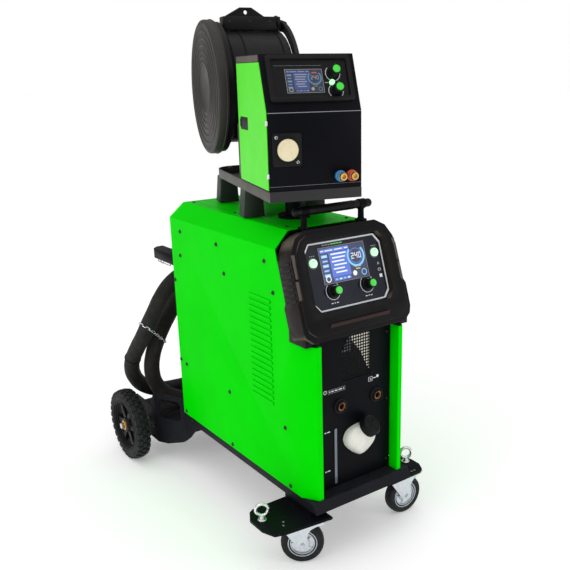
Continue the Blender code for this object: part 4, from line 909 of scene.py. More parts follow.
# Each plate's outline: x from the middle of the cart, y from FOLD_Y.
OUTRIGGER_CORNERS = (
    ("left", -1, [(0.118, -0.068), (0.252, -0.053), (0.286, -0.043), (0.3005, -0.004), (0.3005, 0.056),
                  (0.282, 0.088), (0.268, 0.097), (0.118, 0.097)]),
    ("right", 1, [(0.118, -0.034), (0.236, -0.032), (0.250, -0.024), (0.264, 0.004), (0.264, 0.040),
                  (0.247, 0.074), (0.234, 0.083), (0.118, 0.083)]),
)


def outrigger_plates():
    """Each caster's plate with a short lip folded down round its edge, on a riser under the base."""
    inner_x, outer_x = 0.118, 0.1665
    for name, sign, corners in OUTRIGGER_CORNERS:
        outline = [(sign * x, FOLD_Y + y) for x, y in corners][::sign]
        mid_x, mid_y, share = sign * 0.205, FOLD_Y + 0.020, 0.972
        inner = [(mid_x + (x - mid_x) * share, mid_y + (y - mid_y) * share) for x, y in outline]
        plate = Piece("outrigger_plate_" + name, "chassis")
        plate.add(slab(outline, 0.1560, OUTRIGGER_TOP, 0.0009), "black")
        plate.add(ring_plate(outline, inner, 0.1528, 0.1562), "black")
        front = min(y for x, y in outline) if sign > 0 else FOLD_Y - 0.044
        rear = max(y for x, y in outline)
        x0, x1 = sorted((sign * inner_x, sign * outer_x))
        plate.add(box((x0, front + 0.010, OUTRIGGER_TOP - 0.0005), (x1, rear - 0.010, 0.1802), 0.0003),
                  "black")
        plate.done("black_paint", ["outrigger_" + name])


def outrigger_fittings():
    """An eyebolt on each outrigger, and small holes in its plate."""
    for name, x, y in (("left", -0.2735, FOLD_Y + 0.037), ("right", 0.2400, FOLD_Y + 0.038)):
        ring = Piece("eyebolt_" + name, "chassis", shift(x, y, 0.1602))
        ring.add(lathe([(0.0125, 0), (0.0125, 0.0022), (0.0110, 0.0034), (0.0078, 0.0038), (0.0066, 0.0095),
                        (0.0050, 0.0140), (0, 0.0140)], 28), "steel")
        loop = [(0.0165 * math.cos(TAU * k / 40), 0,
                 0.0300 + 0.0165 * math.sin(TAU * k / 40)) for k in range(40)]
        ring.add(sweep(loop, 0.0045, 12, True), "steel", rotation(math.radians(-31)))
        ring.done("zinc")
    holes = Piece("outrigger_holes", "chassis")
    for x, y in ((-0.2352, -0.0067), (-0.2445, -0.0207), (0.214, -0.018), (0.225, -0.018)):
        holes.add(lathe([(0.0028, 0), (0.0028, 0.0004), (0.0019, 0.0003), (0, 0.0002)], 16), "grey_print",
                  shift(x, FOLD_Y + y, OUTRIGGER_TOP))
    holes.done()


def cart_fittings():
    """Bolts in the carriage's side walls, a ribbed mat on the platform and a collar on each axle end."""
    bolts = Piece("carriage_bolts", "chassis")
    for sign in (-1, 1):
        for x, y, z in ((0.2222, 0.140, 0.120), (0.2222, 0.265, 0.120), (0.1677, -0.060, 0.196)):
            add_bolt(bolts, facing((sign * x, REAR_Y + y, z), (sign, 0, 0)), 0.0058, 0.005, "dark_steel")
    bolts.done("zinc")
    plate = Piece("platform_mat", "chassis", shift(0, 0, 0.1500))
    plate.add(slab(rounded(0.205, 0.086, 0.012, 4, 0, REAR_Y + 0.210), 0.0, 0.0007, 0.0003), "rubber")
    for k in range(25):
        x = -0.198 + k * 0.0165
        plate.add(box((x - 0.0035, REAR_Y + 0.130, 0.0005), (x + 0.0035, REAR_Y + 0.290, 0.0011), 0.0002),
                  "rubber")
    plate.done("rubber")
    axle = Piece("axle_collars", "chassis", axes((0, AXLE_Y, WHEEL_R), (0, 0, -1), (0, 1, 0), (1, 0, 0)))
    for x in (-0.2520, 0.2390):
        axle.add(lathe([(0.0105, x), (0.0170, x), (0.0180, x + 0.001), (0.0180, x + 0.012),
                        (0.0170, x + 0.013), (0.0105, x + 0.013)], 28), "zinc")
    axle.done("zinc")


def link(piece, at, length=0.0075, half=0.0038, wire=0.0014):
    """One chain link along the place's x axis."""
    points = []
    for k in range(24):
        a = TAU * k / 24
        points.append((math.copysign(length / 2, math.cos(a)) + half * math.cos(a), half * math.sin(a), 0))
    piece.add(sweep(points, wire, 8, True), "steel", at)


def chain(name, body, points, pitch=0.0135):
    """Links along a line, each turned a quarter against the last."""
    line = smooth_line(points, 400)
    piece = Piece(name, body)
    walked, k, last = 0.0, 0, line[0]
    for a, b in zip(line, line[1:]):
        walked += (b - a).length
        if walked >= pitch:
            walked = 0.0
            along = (b - last).normalized()
            place = facing((b + last) / 2, along)
            turn = rotation(math.pi / 2 * (k % 2) + 0.5)
            link(piece, place @ turn @ rotation(-math.pi / 2, "Y"))
            last, k = b, k + 1
    return piece


def cradle_fittings():
    """The bottle cradle's rubber pad, hooks, side rail and bolts, and the chain that holds the hose."""
    y0 = REAR_Y + 0.150
    pads = Piece("cradle_pads", "chassis")
    line = [(0.1128 * math.cos(math.radians(a)), y0 + 0.1128 * math.sin(math.radians(a)), 0.722)
            for a in range(182, 360, 6)]
    pads.add(sweep(line, lambda s, a: 0.0030 + 0.0006 * math.cos(2 * a), 8), "rubber")
    pads.done("rubber")
    hooks = Piece("cradle_hooks", "chassis")
    for sign in (-1, 1):
        x = sign * 0.138
        curl = ((0.165, 0.7045), (0.165, 0.697), (0.162, 0.690), (0.152, 0.687), (0.143, 0.692), (0.141, 0.700))
        hook = [(x, REAR_Y + y, z) for y, z in curl]
        hooks.add(sweep(smooth_line(hook, 18), 0.0022, 10), "steel")
        hooks.add(lathe([(0.0058, 0), (0.0058, 0.0016), (0, 0.0022)], 20), "steel",
                  facing((x, REAR_Y + 0.165, 0.7062), (0, 0, -1)))
    rail = [(-0.1535, REAR_Y + 0.060, 0.699), (-0.1535, REAR_Y + 0.150, 0.699)]
    hooks.add(sweep(smooth_line(rail, 8), 0.0019, 8), "steel")
    for y in (0.060, 0.150):
        hooks.add(sweep([(-0.1535, REAR_Y + y, 0.6985), (-0.1500, REAR_Y + y, 0.7065)], 0.0019, 8), "steel")
    hooks.done("zinc")
    bolts = Piece("cradle_bolts", "chassis")
    for x in (-0.105, -0.035, 0.035, 0.105):
        add_screw(bolts, facing((x, REAR_Y + 0.022, 0.7382), (0, 0, 1)), 0.0050)
    bolts.done("zinc")
    first, second = Vector((-0.212, 0.371, 0.472)), Vector((-0.160, 0.409, 0.420))
    across = (second - first).normalized()
    other = Vector((0.669, 0, 0.743)).cross(across).normalized()
    loop = []
    for k in range(14):
        a = math.radians(-90 + 180 * (k % 7) / 6) + (math.pi if k > 6 else 0)
        end = second if k < 7 else first
        loop.append(end + (across * 1.12 * math.cos(a) + other * math.sin(a)) * 0.0305)
    chain("hose_chain", "chassis", loop + loop[:1]).done("zinc")


# ---------------------------------------------------------------- hoses

# The hose's route up to the swivel: x, y from REAR_Y, z. It makes a level loop on the platform.
LOOP_X, LOOP_Y, LOOP_Z, LOOP_R = 0.075, 0.1675, 0.1797, 0.1075
LOWER = [
    (-0.070, 0.0223, 0.600), (-0.070, 0.048, 0.600), (-0.070, 0.074, 0.600), (-0.074, 0.104, 0.5945),
    (-0.0835, 0.132, 0.578), (-0.099, 0.153, 0.548), (-0.121, 0.168, 0.505), (-0.144, 0.180, 0.457),
    (-0.165, 0.193, 0.405), (-0.179, 0.205, 0.350), (-0.184, 0.211, 0.296), (-0.176, 0.2055, 0.246),
    (-0.148, 0.189, 0.205), (-0.098, 0.160, 0.1822), (-0.036, 0.124, LOOP_Z),
]
for angle in (240, 270, 300, 330, 0, 30, 60, 90):
    turned = math.radians(angle)
    LOWER.append((LOOP_X + LOOP_R * math.cos(turned), LOOP_Y + LOOP_R * math.sin(turned), LOOP_Z))
LOWER += [(0.010, 0.2765, LOOP_Z), (-0.060, 0.278, LOOP_Z + 0.0002), (-0.120, 0.280, 0.1845),
          (-0.172, 0.281, 0.205), (-0.211, 0.278, 0.239), (-0.233, 0.267, 0.285), (-0.239, 0.245, 0.336),
          (-0.232, 0.212, 0.386), (-0.221, 0.176, 0.436), (-0.209, 0.145, 0.487), (-0.193, 0.121, 0.537),
          (-0.173, 0.105, 0.585), (-0.144, 0.093, 0.628), (-0.102, 0.082, 0.657), (-0.052, 0.074, 0.667),
          (0.010, 0.070, 0.665), (0.080, 0.068, 0.661), (0.142, 0.066, 0.665), (0.193, 0.061, 0.693),
          (0.2215, 0.053, 0.742), (0.2315, 0.044, 0.803), (0.232, 0.036, 0.868), (0.232, 0.030, 0.912)]
# The rear conduit's route, from the drum to the box, in the feeder's axes.
CONDUIT = [
    (0.0834, 0.2905, 1.4335), (0.0877, 0.2832, 1.4314), (0.0912, 0.2740, 1.4282), (0.0931, 0.2600, 1.4223),
    (0.0938, 0.2420, 1.4130), (0.0935, 0.2220, 1.4010), (0.0928, 0.2010, 1.3860), (0.0920, 0.1800, 1.3675),
    (0.0912, 0.1610, 1.3455), (0.0908, 0.1430, 1.3200), (0.0905, 0.1240, 1.2940), (0.0903, 0.1020, 1.2705),
    (0.0901, 0.0760, 1.2540), (0.0900, 0.0480, 1.2470), (0.0900, 0.0233, 1.2470),
]
CONDUIT_RINGS = 240


def wrinkled(radius, size, depth, seed):
    """A tube radius with slow folds and swellings in it."""

    def at(share, angle):
        p = Vector((math.cos(angle) * 1.2 + seed, math.sin(angle) * 1.2, share * size))
        return radius * (1 + depth * noise.noise(p) + 0.4 * depth * noise.noise(p * 2.7))

    return at


def interconnection_hose():
    """The sleeved hose from the cabinet's rear, round the platform and up to the feeder. Gives its points."""
    start = FEEDER.inverted() @ Vector((0.232, REAR_Y + 0.030, SPLIT_Z))
    end_y, low = FRONT + FEEDER_D + GAP, TRAY_TOP + HOSE_R + 0.006
    upper = [start + Vector((0, 0, 0.030)), start + Vector((0.001, -0.024, 0.092)),
             (0.113, start.y - 0.090, low + 0.040), (0.114, start.y - 0.160, low + 0.010),
             (0.114, start.y - 0.240, low + 0.002), (0.112, start.y - 0.310, low),
             (0.096, start.y - 0.390, low), (0.085, end_y + 0.040, low), (0.085, end_y, low)]
    route = [Vector((x, REAR_Y + y, z)) for x, y, z in LOWER] + [FEEDER @ Vector(p) for p in upper]
    points = smooth_line(route, 560)
    piece = Piece("interconnection_hose", None)
    piece.add(sweep(points, wrinkled(HOSE_R, 42, 0.045, 3.1), 28, uv=True), "sleeve")
    obj = piece.object(60)
    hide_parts("hose_lower", "hose_upper")
    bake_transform(obj)
    return points


def hose_fittings(points):
    """A cuff on each end of the hose, and two ties round it."""
    cuff = Piece("hose_cuff_lower", "chassis", facing(points[0], points[6] - points[0]))
    cuff.add(lathe([(0.0310, 0.0), (0.0325, 0.004), (0.0325, 0.016), (0.0300, 0.022), (0.0292, 0.050),
                    (0.0282, 0.056), (0.0255, 0.057)], 36), "leather")
    for z in (0.028, 0.044):
        cuff.add(hoop(0.0302, z, 0.0013, 36), "steel")
    cuff.done("rubber")
    top = Piece("hose_cuff_upper", "feeder", facing(points[-1], points[-7] - points[-1]))
    top.add(lathe([(0.0310, 0.0), (0.0325, 0.004), (0.0325, 0.014), (0.0300, 0.020), (0.0290, 0.036),
                   (0.0282, 0.040), (0.0255, 0.041)], 36), "leather")
    top.done("rubber")
    for k, share in enumerate((0.30, 0.50)):
        i = int(share * len(points))
        tie = Piece(f"hose_tie_{k}", "chassis", facing(points[i], points[i + 1] - points[i - 1]))
        tie.add(lathe([(0.0262, -0.003), (0.0286, -0.003), (0.0290, 0), (0.0286, 0.003), (0.0262, 0.003)],
                      32), "plastic")
        tie.done("black_plastic")


def ribbed(share, angle):
    """The conduit's radius: every second ring of the sweep stands out."""
    return 0.0069 + (0.0004 if int(share * (CONDUIT_RINGS - 1)) % 2 else 0.0)


def conduits():
    """Two stiff conduits from the drum to the feeder's box, the front one under the rear one."""
    upper = [Vector(p) for p in CONDUIT]
    lower = []
    for i, point in enumerate(upper):
        along = (upper[min(i + 1, len(upper) - 1)] - upper[max(i - 1, 0)]).normalized()
        under = Vector((0, -along.z, along.y)).normalized()
        lower.append(point + under * (0.0150 + 0.011 * min(1.0, max(0.0, (i - 9) / 5))))
    lower[-1] = Vector((lower[-2].x, upper[-1].y, lower[-2].z))
    for name, line in (("front", lower), ("rear", upper)):
        points = smooth_line([FEEDER @ p for p in line], CONDUIT_RINGS)
        made = Piece("conduit_" + name, "feeder")
        made.add(sweep(points, ribbed, 18, uv=True), "hose_rubber")
        obj = made.done("rubber", ["feeder_hose_" + name], 25)
        ends = Piece("conduit_ends_" + name, "feeder")
        box_end = facing(points[-1], points[-4] - points[-1])
        ends.add(slab(circle(0.0106, 6), 0, 0.008, 0.001), "plastic", box_end)
        ends.add(lathe([(0.0098, 0.008), (0.0092, 0.018), (0.0072, 0.0235)], 28), "plastic", box_end)
        ends.add(lathe([(0.0085, -0.002), (0.0092, 0.0), (0.0092, 0.008), (0.0080, 0.020), (0.0072, 0.0235)],
                       28), "plastic", facing(points[0], points[3] - points[0]))
        ends.done("black_plastic")


# ---------------------------------------------------------------- cabinet

SIDES = {
    "left": axes((-CABINET_HALF_W - 0.0002, 0, 0), (0, -1, 0), (0, 0, 1), (-1, 0, 0)),
    "right": axes((CABINET_HALF_W + 0.0002, 0, 0), (0, 1, 0), (0, 0, 1), (1, 0, 0)),
}
FACE = axes((0, RECESS_Y, 0), (1, 0, 0), (0, 0, 1), (0, -1, 0))
SIDE_SCREWS = ((-0.3265, 0.8305), (-0.0725, 0.8315), (0.1535, 0.8335), (-0.3645, 0.7535), (-0.1095, 0.7535),
               (0.1625, 0.7570), (-0.4020, 0.3855), (-0.1055, 0.3895), (0.1725, 0.3935), (-0.4195, 0.2185),
               (-0.1055, 0.2165), (0.1995, 0.2175), (0.2110, 0.6700), (0.2110, 0.4000))


def side_details():
    """Louvres and screws on the sides, screws and two seams on the top."""
    for name, place in SIDES.items():
        sign = -1 if name == "left" else 1
        y = sign * (FOLD_Y + 0.176)
        hoods = Piece("louvres_" + name, "chassis", place)
        for k in range(18):
            z = 0.435 + 0.017 * k
            hoods.add(slab(rounded(0.0545, 0.0046, 0.0044, 4, y, z + 0.0012), -0.0006, 0.0026, 0.0018, 3),
                      "green")
            # Under each hood a dark box stands for the slit: painted shade.
            hoods.add(box((y - 0.050, z - 0.0048, -0.0007), (y + 0.050, z - 0.0036, 0.0004), 0), "void")
        hoods.done("green_paint", angle=50)
        spots = [(sign * y, z) for y, z in SIDE_SCREWS]
        screws("side_screws_" + name, "chassis", place, spots, -0.0003, 0.0062, 0.0032)
    spots = grid((-0.098, 0.098), (-0.330, -0.060, 0.190))
    screws("top_screws", "chassis", Matrix(), spots, 0.9109, 0.0050, 0.0026)
    seams = Piece("top_seams", "chassis")
    for x in (-0.0898, 0.0898):
        seams.add(box((x - 0.0005, -0.360, 0.9105), (x + 0.0005, 0.219, 0.91112), 0), "void")
    seams.done()


def perforated(x0, z0, columns, rows, pitch, r, depth):
    """A sheet with a grid of round holes, facing +z, its cells pitch apart."""
    bm = bmesh.new()
    for i in range(columns):
        for j in range(rows):
            cx, cy = x0 + (i + 0.5) * pitch, z0 + (j + 0.5) * pitch
            outer, inner, deep = [], [], []
            for k in range(8):
                a = math.radians(45 * k)
                c, s = math.cos(a), math.sin(a)
                m = pitch / 2 / max(abs(c), abs(s))
                outer.append(bm.verts.new((cx + m * c, cy + m * s, 0)))
                inner.append(bm.verts.new((cx + r * c, cy + r * s, 0)))
                deep.append(bm.verts.new((cx + r * c, cy + r * s, -depth)))
            for k in range(8):
                j2 = (k + 1) % 8
                bm.faces.new((inner[k], outer[k], outer[j2], inner[j2]))
                bm.faces.new((deep[k], inner[k], inner[j2], deep[j2]))
    return bm


def frame_line(u0, v0, u1, v1, width, low, high):
    """A printed rectangle's outline, this wide."""
    corners = [(u0, v0), (u1, v0), (u1, v1), (u0, v1)]
    inner = [(u0 + width, v0 + width), (u1 - width, v0 + width), (u1 - width, v1 - width),
             (u0 + width, v1 - width)]
    return ring_plate(corners, inner, low, high)


def front_sheet():
    """The black front panel with its perforated field, and what shows dimly through the holes: painted shade
    and painted light behind them.
    """
    piece = Piece("front_sheet", "chassis", FACE)
    half, bottom, top = 0.1287, 0.2063, 0.6375
    x0, x1, z0, z1 = -0.0400, 0.0600, 0.5075, 0.6325
    columns, rows = 12, 15
    for (a, b), (c, d) in (((-half, bottom), (x0, top)), ((x1, bottom), (half, top)),
                           ((x0, bottom), (x1, z0)), ((x0, z1), (x1, top))):
        piece.add(box((a, b, -0.0016), (c, d, 0), 0), "black")
    piece.add(perforated(x0, z0, columns, rows, (x1 - x0) / columns, 0.0030, 0.0008), "grille")
    piece.done("black_paint", ["front_panel"])
    # Behind the holes: a dark sheet as painted shade, a glowing patch as painted light coming through, and a
    # grey patch.
    inside = Piece("grille_baffle", "chassis", FACE)
    inside.add(box((x0 - 0.004, z0 - 0.004, -0.012), (x1 + 0.004, z1 + 0.004, -0.011), 0), "void")
    inside.add(slab([(0.026, 0.585), (0.058, 0.520), (0.0585, 0.634), (-0.004, 0.634), (0.002, 0.612)],
                    -0.0052, -0.0045), "grille_light")
    inside.add(slab([(-0.034, 0.590), (-0.004, 0.585), (0.004, 0.625), (-0.010, 0.632)], -0.0062, -0.0055),
               "grey_print")
    inside.done()


def front_marks():
    """The tank's sight tube, and dashes and rings where a real panel has its print."""
    marks = Piece("front_marks", "chassis", FACE)
    print_z, tube_x, tube_z = 0.00035, -0.0615, 0.2980

    def dash(x, z, width, half_height, material="print"):
        marks.add(box((x - width / 2, z - half_height, 0), (x + width / 2, z + half_height, print_z), 0),
                  material)

    marks.add(slab(rounded(0.0042, 0.0825, 0.0025, 3, tube_x, tube_z), 0, 0.0011, 0.0004), "sight")
    marks.add(ring_plate(rounded(0.0058, 0.0842, 0.004, 3, tube_x, tube_z),
                         rounded(0.0043, 0.0826, 0.0026, 3, tube_x, tube_z), 0, 0.0016), "plastic")
    for z in (0.3765, 0.2605):
        for x, width in ((-0.0955, 0.005), (-0.0890, 0.003), (-0.0835, 0.006)):
            dash(x, z, width, 0.0016)
    marks.add(arc_band(0.0042, 0.0056, 0, 360, print_z, 24), "print", shift(-0.0945, 0.4930, 0))
    dash(-0.0945, 0.4930, 0.0010, 0.0022)
    marks.add(frame_line(-0.085, 0.4855, -0.028, 0.4965, 0.001, 0, print_z), "grey_print")
    for x, width in ((-0.079, 0.004), (-0.070, 0.008), (-0.058, 0.009), (-0.044, 0.012), (-0.033, 0.003)):
        dash(x, 0.4910, width, 0.0015)
    marks.add(ring_plate(rounded(0.0075, 0.0065, 0.001, 1, 0.0600, 0.4930),
                         rounded(0.0065, 0.0055, 0.001, 1, 0.0600, 0.4930), 0, print_z), "print")
    marks.add(arc_band(0.0018, 0.0030, 0, 360, print_z, 20), "print", shift(0.0600, 0.4930, 0))
    dash(0.0745, 0.49325, 0.0090, 0.00125)
    marks.add(lathe([(0.0042, 0), (0.0042, print_z), (0, print_z)], 20), "print", shift(0.0850, 0.4960, 0))
    marks.done()


def power_sockets():
    """Two brass sockets in notched plastic rings, and the front panel's screws."""
    for name, x in (("left", -0.045), ("right", 0.080)):
        socket = Piece("power_socket_" + name, "chassis", FACE @ shift(x, 0.4425, 0))
        socket.add(lathe([(0.0215, 0), (0.0215, 0.0032), (0.0200, 0.0045), (0.0172, 0.0050), (0.0165, 0.0105),
                          (0.0155, 0.0118), (0.0128, 0.0118), (0.0122, 0.0105), (0.0122, -0.012),
                          (0, -0.012)], 48), "plastic")
        socket.add(lathe([(0.0121, -0.010), (0.0119, 0.0078), (0.0112, 0.0086), (0.0090, 0.0086),
                          (0.0084, 0.0078), (0.0084, -0.0115), (0, -0.0115)], 40), "copper")
        # A dark box in the sleeve's key slot: painted shade.
        socket.add(box((-0.0021, 0.0070, -0.004), (0.0021, 0.0118, 0.0088), 0.0004), "void")
        for k in range(12):
            socket.add(box((0.0166, -0.0010, 0.0005), (0.0203, 0.0010, 0.0052), 0.0004), "plastic",
                       rotation(TAU * k / 12))
        socket.done("brass", ["output_socket_" + name])
    screws("front_screws", "chassis", FACE, grid((-0.119, 0.119), (0.232, 0.420, 0.618)), 0, 0.0042, 0.0024)


def filler_spout(base, axis):
    """The milky spout. It bulges out of the front panel from its root and ends as a ring on the axis."""
    top = facing(base + axis * 0.030, axis)
    middle_x, middle_z, count = 0.014, 0.330, 48
    edge = ((-0.036, 0.343), (-0.026, 0.362), (-0.004, 0.372), (0.024, 0.374), (0.052, 0.362), (0.069, 0.340),
            (0.066, 0.312), (0.047, 0.294), (0.022, 0.281), (0.010, 0.283), (-0.014, 0.302), (-0.031, 0.322))
    root = smooth_line([(x, z, 0) for x, z in edge], count, True)
    bm = bmesh.new()
    rows = []
    for share, out, grow in ((0, 0, 1.0), (0.05, 0.010, 1.0), (0.16, 0.021, 0.98), (0.34, 0.029, 0.93),
                             (0.58, 0.033, 0.86), (0.80, 0.036, 0.84), (0.93, 0.0380, 0.90),
                             (1, 0.0405, 1.0)):
        row = []
        for k in range(count):
            a = math.pi - TAU * k / count
            ring = top @ Vector((0.0250 * math.cos(a), 0.0250 * math.sin(a), 0))
            low = Vector((middle_x + (root[k].x - middle_x) * grow, RECESS_Y - out * (1 - share),
                          middle_z + (root[k].y - middle_z) * grow))
            row.append(bm.verts.new(low.lerp(ring, share)))
        rows.append(row)
    for a, b in zip(rows, rows[1:]):
        for k in range(count):
            bm.faces.new((a[k], b[k], b[(k + 1) % count], a[(k + 1) % count]))
    bm.faces.new(rows[-1])
    bmesh.ops.recalc_face_normals(bm, faces=bm.faces)
    spout = Piece("filler_spout", "chassis")
    spout.add(bm, "white")
    spout.done("white_plastic", ["coolant_filler_neck"], 60)


def filler_cap(place):
    """The ribbed screw cap, with a raised cross on its top."""
    cap = Piece("filler_cap", "cap", place)
    outline = []
    for k in range(96):
        r = 0.0298 - (0.0012 if k % 4 == 0 else 0.0)
        outline.append((r * math.cos(TAU * k / 96), r * math.sin(TAU * k / 96)))
    cap.add(slab(outline, 0.0008, 0.0175, 0), "plastic")
    cap.add(lathe([(0.0287, 0.0170), (0.0287, 0.0188), (0.0270, 0.0202), (0.0248, 0.0204), (0.0228, 0.0188),
                   (0, 0.0188)], 56), "plastic")
    cap.add(lathe([(0.0293, -0.003), (0.0299, -0.001), (0.0293, 0.001)], 48), "plastic")
    for turn in (0, math.pi / 2):
        cap.add(box((-0.0220, -0.0022, 0.0180), (0.0220, 0.0022, 0.0203), 0.0007), "plastic",
                rotation(turn + 0.4))
    cap.done("black_plastic", ["coolant_cap"])


def filler():
    base, axis = Vector((0.018, RECESS_Y - GAP, 0.345)), Vector((0.32, -0.70, 0.64)).normalized()
    filler_spout(base, axis)
    filler_cap(facing(base + axis * 0.0363, axis))


# ---------------------------------------------------------------- display panels

KNOB_U, KNOB_V = 0.056, -0.041
BUTTON_U, BUTTON_V = 0.100, 0.037


def knob(name, body, place, height, replaced, r=0.0165, cap=0.0098):
    """A fluted black knob on a skirt, with a green cap and a white pointer."""
    piece = Piece(name, body, place)
    piece.add(lathe([(r, 0.0004), (r, 0.0030), (r - 0.0012, 0.0044), (0.0128, 0.0048)], 44), "plastic")
    outline = []
    for k in range(144):
        a = TAU * k / 144
        fluted = 0.0122 + 0.0009 * math.cos(24 * a)
        outline.append((fluted * math.cos(a), fluted * math.sin(a)))
    piece.add(slab(outline, 0.0044, height - 0.0060, 0), "plastic")
    piece.add(lathe([(0.0126, height - 0.0060), (0.0119, height - 0.0038), (cap + 0.0004, height - 0.0032),
                     (cap + 0.0004, height - 0.0045)], 44), "plastic")
    piece.add(lathe([(cap, height - 0.0045), (cap, height - 0.0012), (cap - 0.0012, height - 0.0002),
                     (cap * 0.6, height - 0.0002), (0, height - 0.0006)], 40), "knob_green")
    piece.add(box((-0.0008, 0.0100, 0.0050), (0.0008, 0.0133, height - 0.0062), 0.0002), "print")
    piece.done("green_plastic", [replaced], 30)


LAYER = 0.00012
SEGMENTS = {"2": "abged", "4": "fgbc", "0": "abcdef", "1": "bc", "6": "afgedc", "8": "abcdefg"}


def digits(piece, text, x, y, h, z, material):
    """Seven-segment digits."""
    w, t = h * 0.55, h * 0.13
    for char in text:
        for s in SEGMENTS[char]:
            u0, v0, u1, v1 = {"a": (0, h - t, w, h), "d": (0, 0, w, t),
                              "g": (0, h / 2 - t / 2, w, h / 2 + t / 2), "f": (0, h / 2, t, h),
                              "e": (0, 0, t, h / 2), "b": (w - t, h / 2, w, h), "c": (w - t, 0, w, h / 2)}[s]
            piece.add(patch(x + u0, y + v0, x + u1, y + v1, z), material)
        x += w * 1.35


def lcd(piece, u0, v0, u1, v1, z, number, red=False):
    """A generic process display: bars for lines of text, a round gauge with a number, and a row of tiles.

    Places inside it are shares of its width and height. Each layer lies LAYER above the one before.
    """
    wide, high = u1 - u0, v1 - v0
    dim = "_dim" if red else ""

    def bar(a, b, c, d, material, layer=1):
        piece.add(patch(u0 + a * wide, v0 + b * high, u0 + c * wide, v0 + d * high, z + LAYER * layer),
                  material + dim)

    def ring(a, b, r0, r1, start, end, material, layer=2):
        band = arc_band(r0 * high, r1 * high, start, end, z + LAYER * layer, 40)
        piece.add(band, material + dim, shift(u0 + a * wide, v0 + b * high, 0))

    piece.add(patch(u0, v0, u1, v1, z), "lcd_back" + dim)
    bar(0.02, 0.86, 0.66, 0.97, "lcd_blue")
    for a, c in ((0.03, 0.10), (0.13, 0.30), (0.34, 0.52), (0.56, 0.64)):
        bar(a, 0.90, c, 0.93, "lcd_white", 2)
    bar(0.20, 0.14, 0.62, 0.84, "lcd_blue")
    for k, (a, c) in enumerate(((0.24, 0.58), (0.26, 0.55), (0.24, 0.52), (0.28, 0.56), (0.25, 0.50),
                                (0.29, 0.54))):
        y = 0.77 - 0.105 * k
        bar(a, y, c, y + 0.042, "lcd_white", 2)
    for k in range(5):
        y = 0.72 - 0.135 * k
        bar(0.03, y, 0.16, y + 0.085, "lcd_blue" if k % 2 else "lcd_sky")
        bar(0.05, y + 0.03, 0.14, y + 0.05, "lcd_white", 2)
    ring(0.79, 0.64, 0.255, 0.320, -225, 45, "lcd_sky")
    ring(0.79, 0.64, 0.20, 0.225, 0, 360, "lcd_blue")
    if red:
        ring(0.79, 0.64, 0.20, 0.255, 60, 120, "lcd_red", 3)
    digits(piece, number, u0 + 0.685 * wide, v0 + 0.56 * high, 0.17 * high, z + 0.0004, "lcd_white" + dim)
    bar(0.72, 0.32, 0.86, 0.37, "lcd_warm")
    bar(0.74, 0.25, 0.84, 0.28, "lcd_warm")
    ring(0.10, 0.12, 0.065, 0.095, 0, 360, "lcd_white")
    ring(0.91, 0.14, 0.070, 0.095, 0, 360, "lcd_sky")
    piece.add(flat(circle(0.075 * high, 24), z + 2 * LAYER), "lcd_white" + dim,
              shift(u0 + 0.70 * wide, v0 + 0.15 * high, 0))
    bar(0.22, 0.03, 0.60, 0.12, "lcd_blue", 2)
    for k in range(4):
        bar(0.25 + 0.09 * k, 0.055, 0.30 + 0.09 * k, 0.095, "lcd_white" if k % 2 else "lcd_sky", 3)


def dial(piece, u, v, z, r=0.0215):
    """A printed arc with ticks round a knob."""
    piece.add(arc_band(r, r + 0.0013, -230, 50, z, 48), "print", shift(u, v, 0))
    for k in range(11):
        tick = box((r + 0.0020, -0.0003, z - 0.0002), (r + 0.0036, 0.0003, z), 0)
        piece.add(tick, "grey_print", shift(u, v, 0) @ rotation(math.radians(-230 + 28 * k)))


def inset(points, by):
    """The points moved this far towards both axes."""
    return [(x - math.copysign(by, x), y - math.copysign(by, y)) for x, y in points]


def bezel_fittings():
    """Grip ribs on the bezel's flanks, and warm grey inserts on the step beside its raised front."""
    ribs = Piece("bezel_ribs", "chassis", PANEL)
    for sign in (-1, 1):
        for k in range(7):
            x, v = sign * (0.1712 + 0.0003 * k), 0.0460 - k * 0.0155
            ribs.add(box((x - 0.0022, v - 0.0034, -0.0440), (x + 0.0022, v + 0.0034, 0.0050), 0.0009),
                     "plastic")
    ribs.done("black_plastic")
    inserts = Piece("bezel_inserts", "chassis", PANEL)
    for sign in (-1, 1):
        for high, low, inner, outer in ((0.0660, 0.0060, 0.1580, 0.1672), (0.0000, -0.0480, 0.1600, 0.1700)):
            outline = [(sign * inner, high), (sign * inner, low), (sign * outer, low),
                       (sign * outer, high)][::sign]
            inserts.add(slab(outline, 0.0110, 0.0136, 0.0006), "taupe")
    inserts.done("grey_plastic")


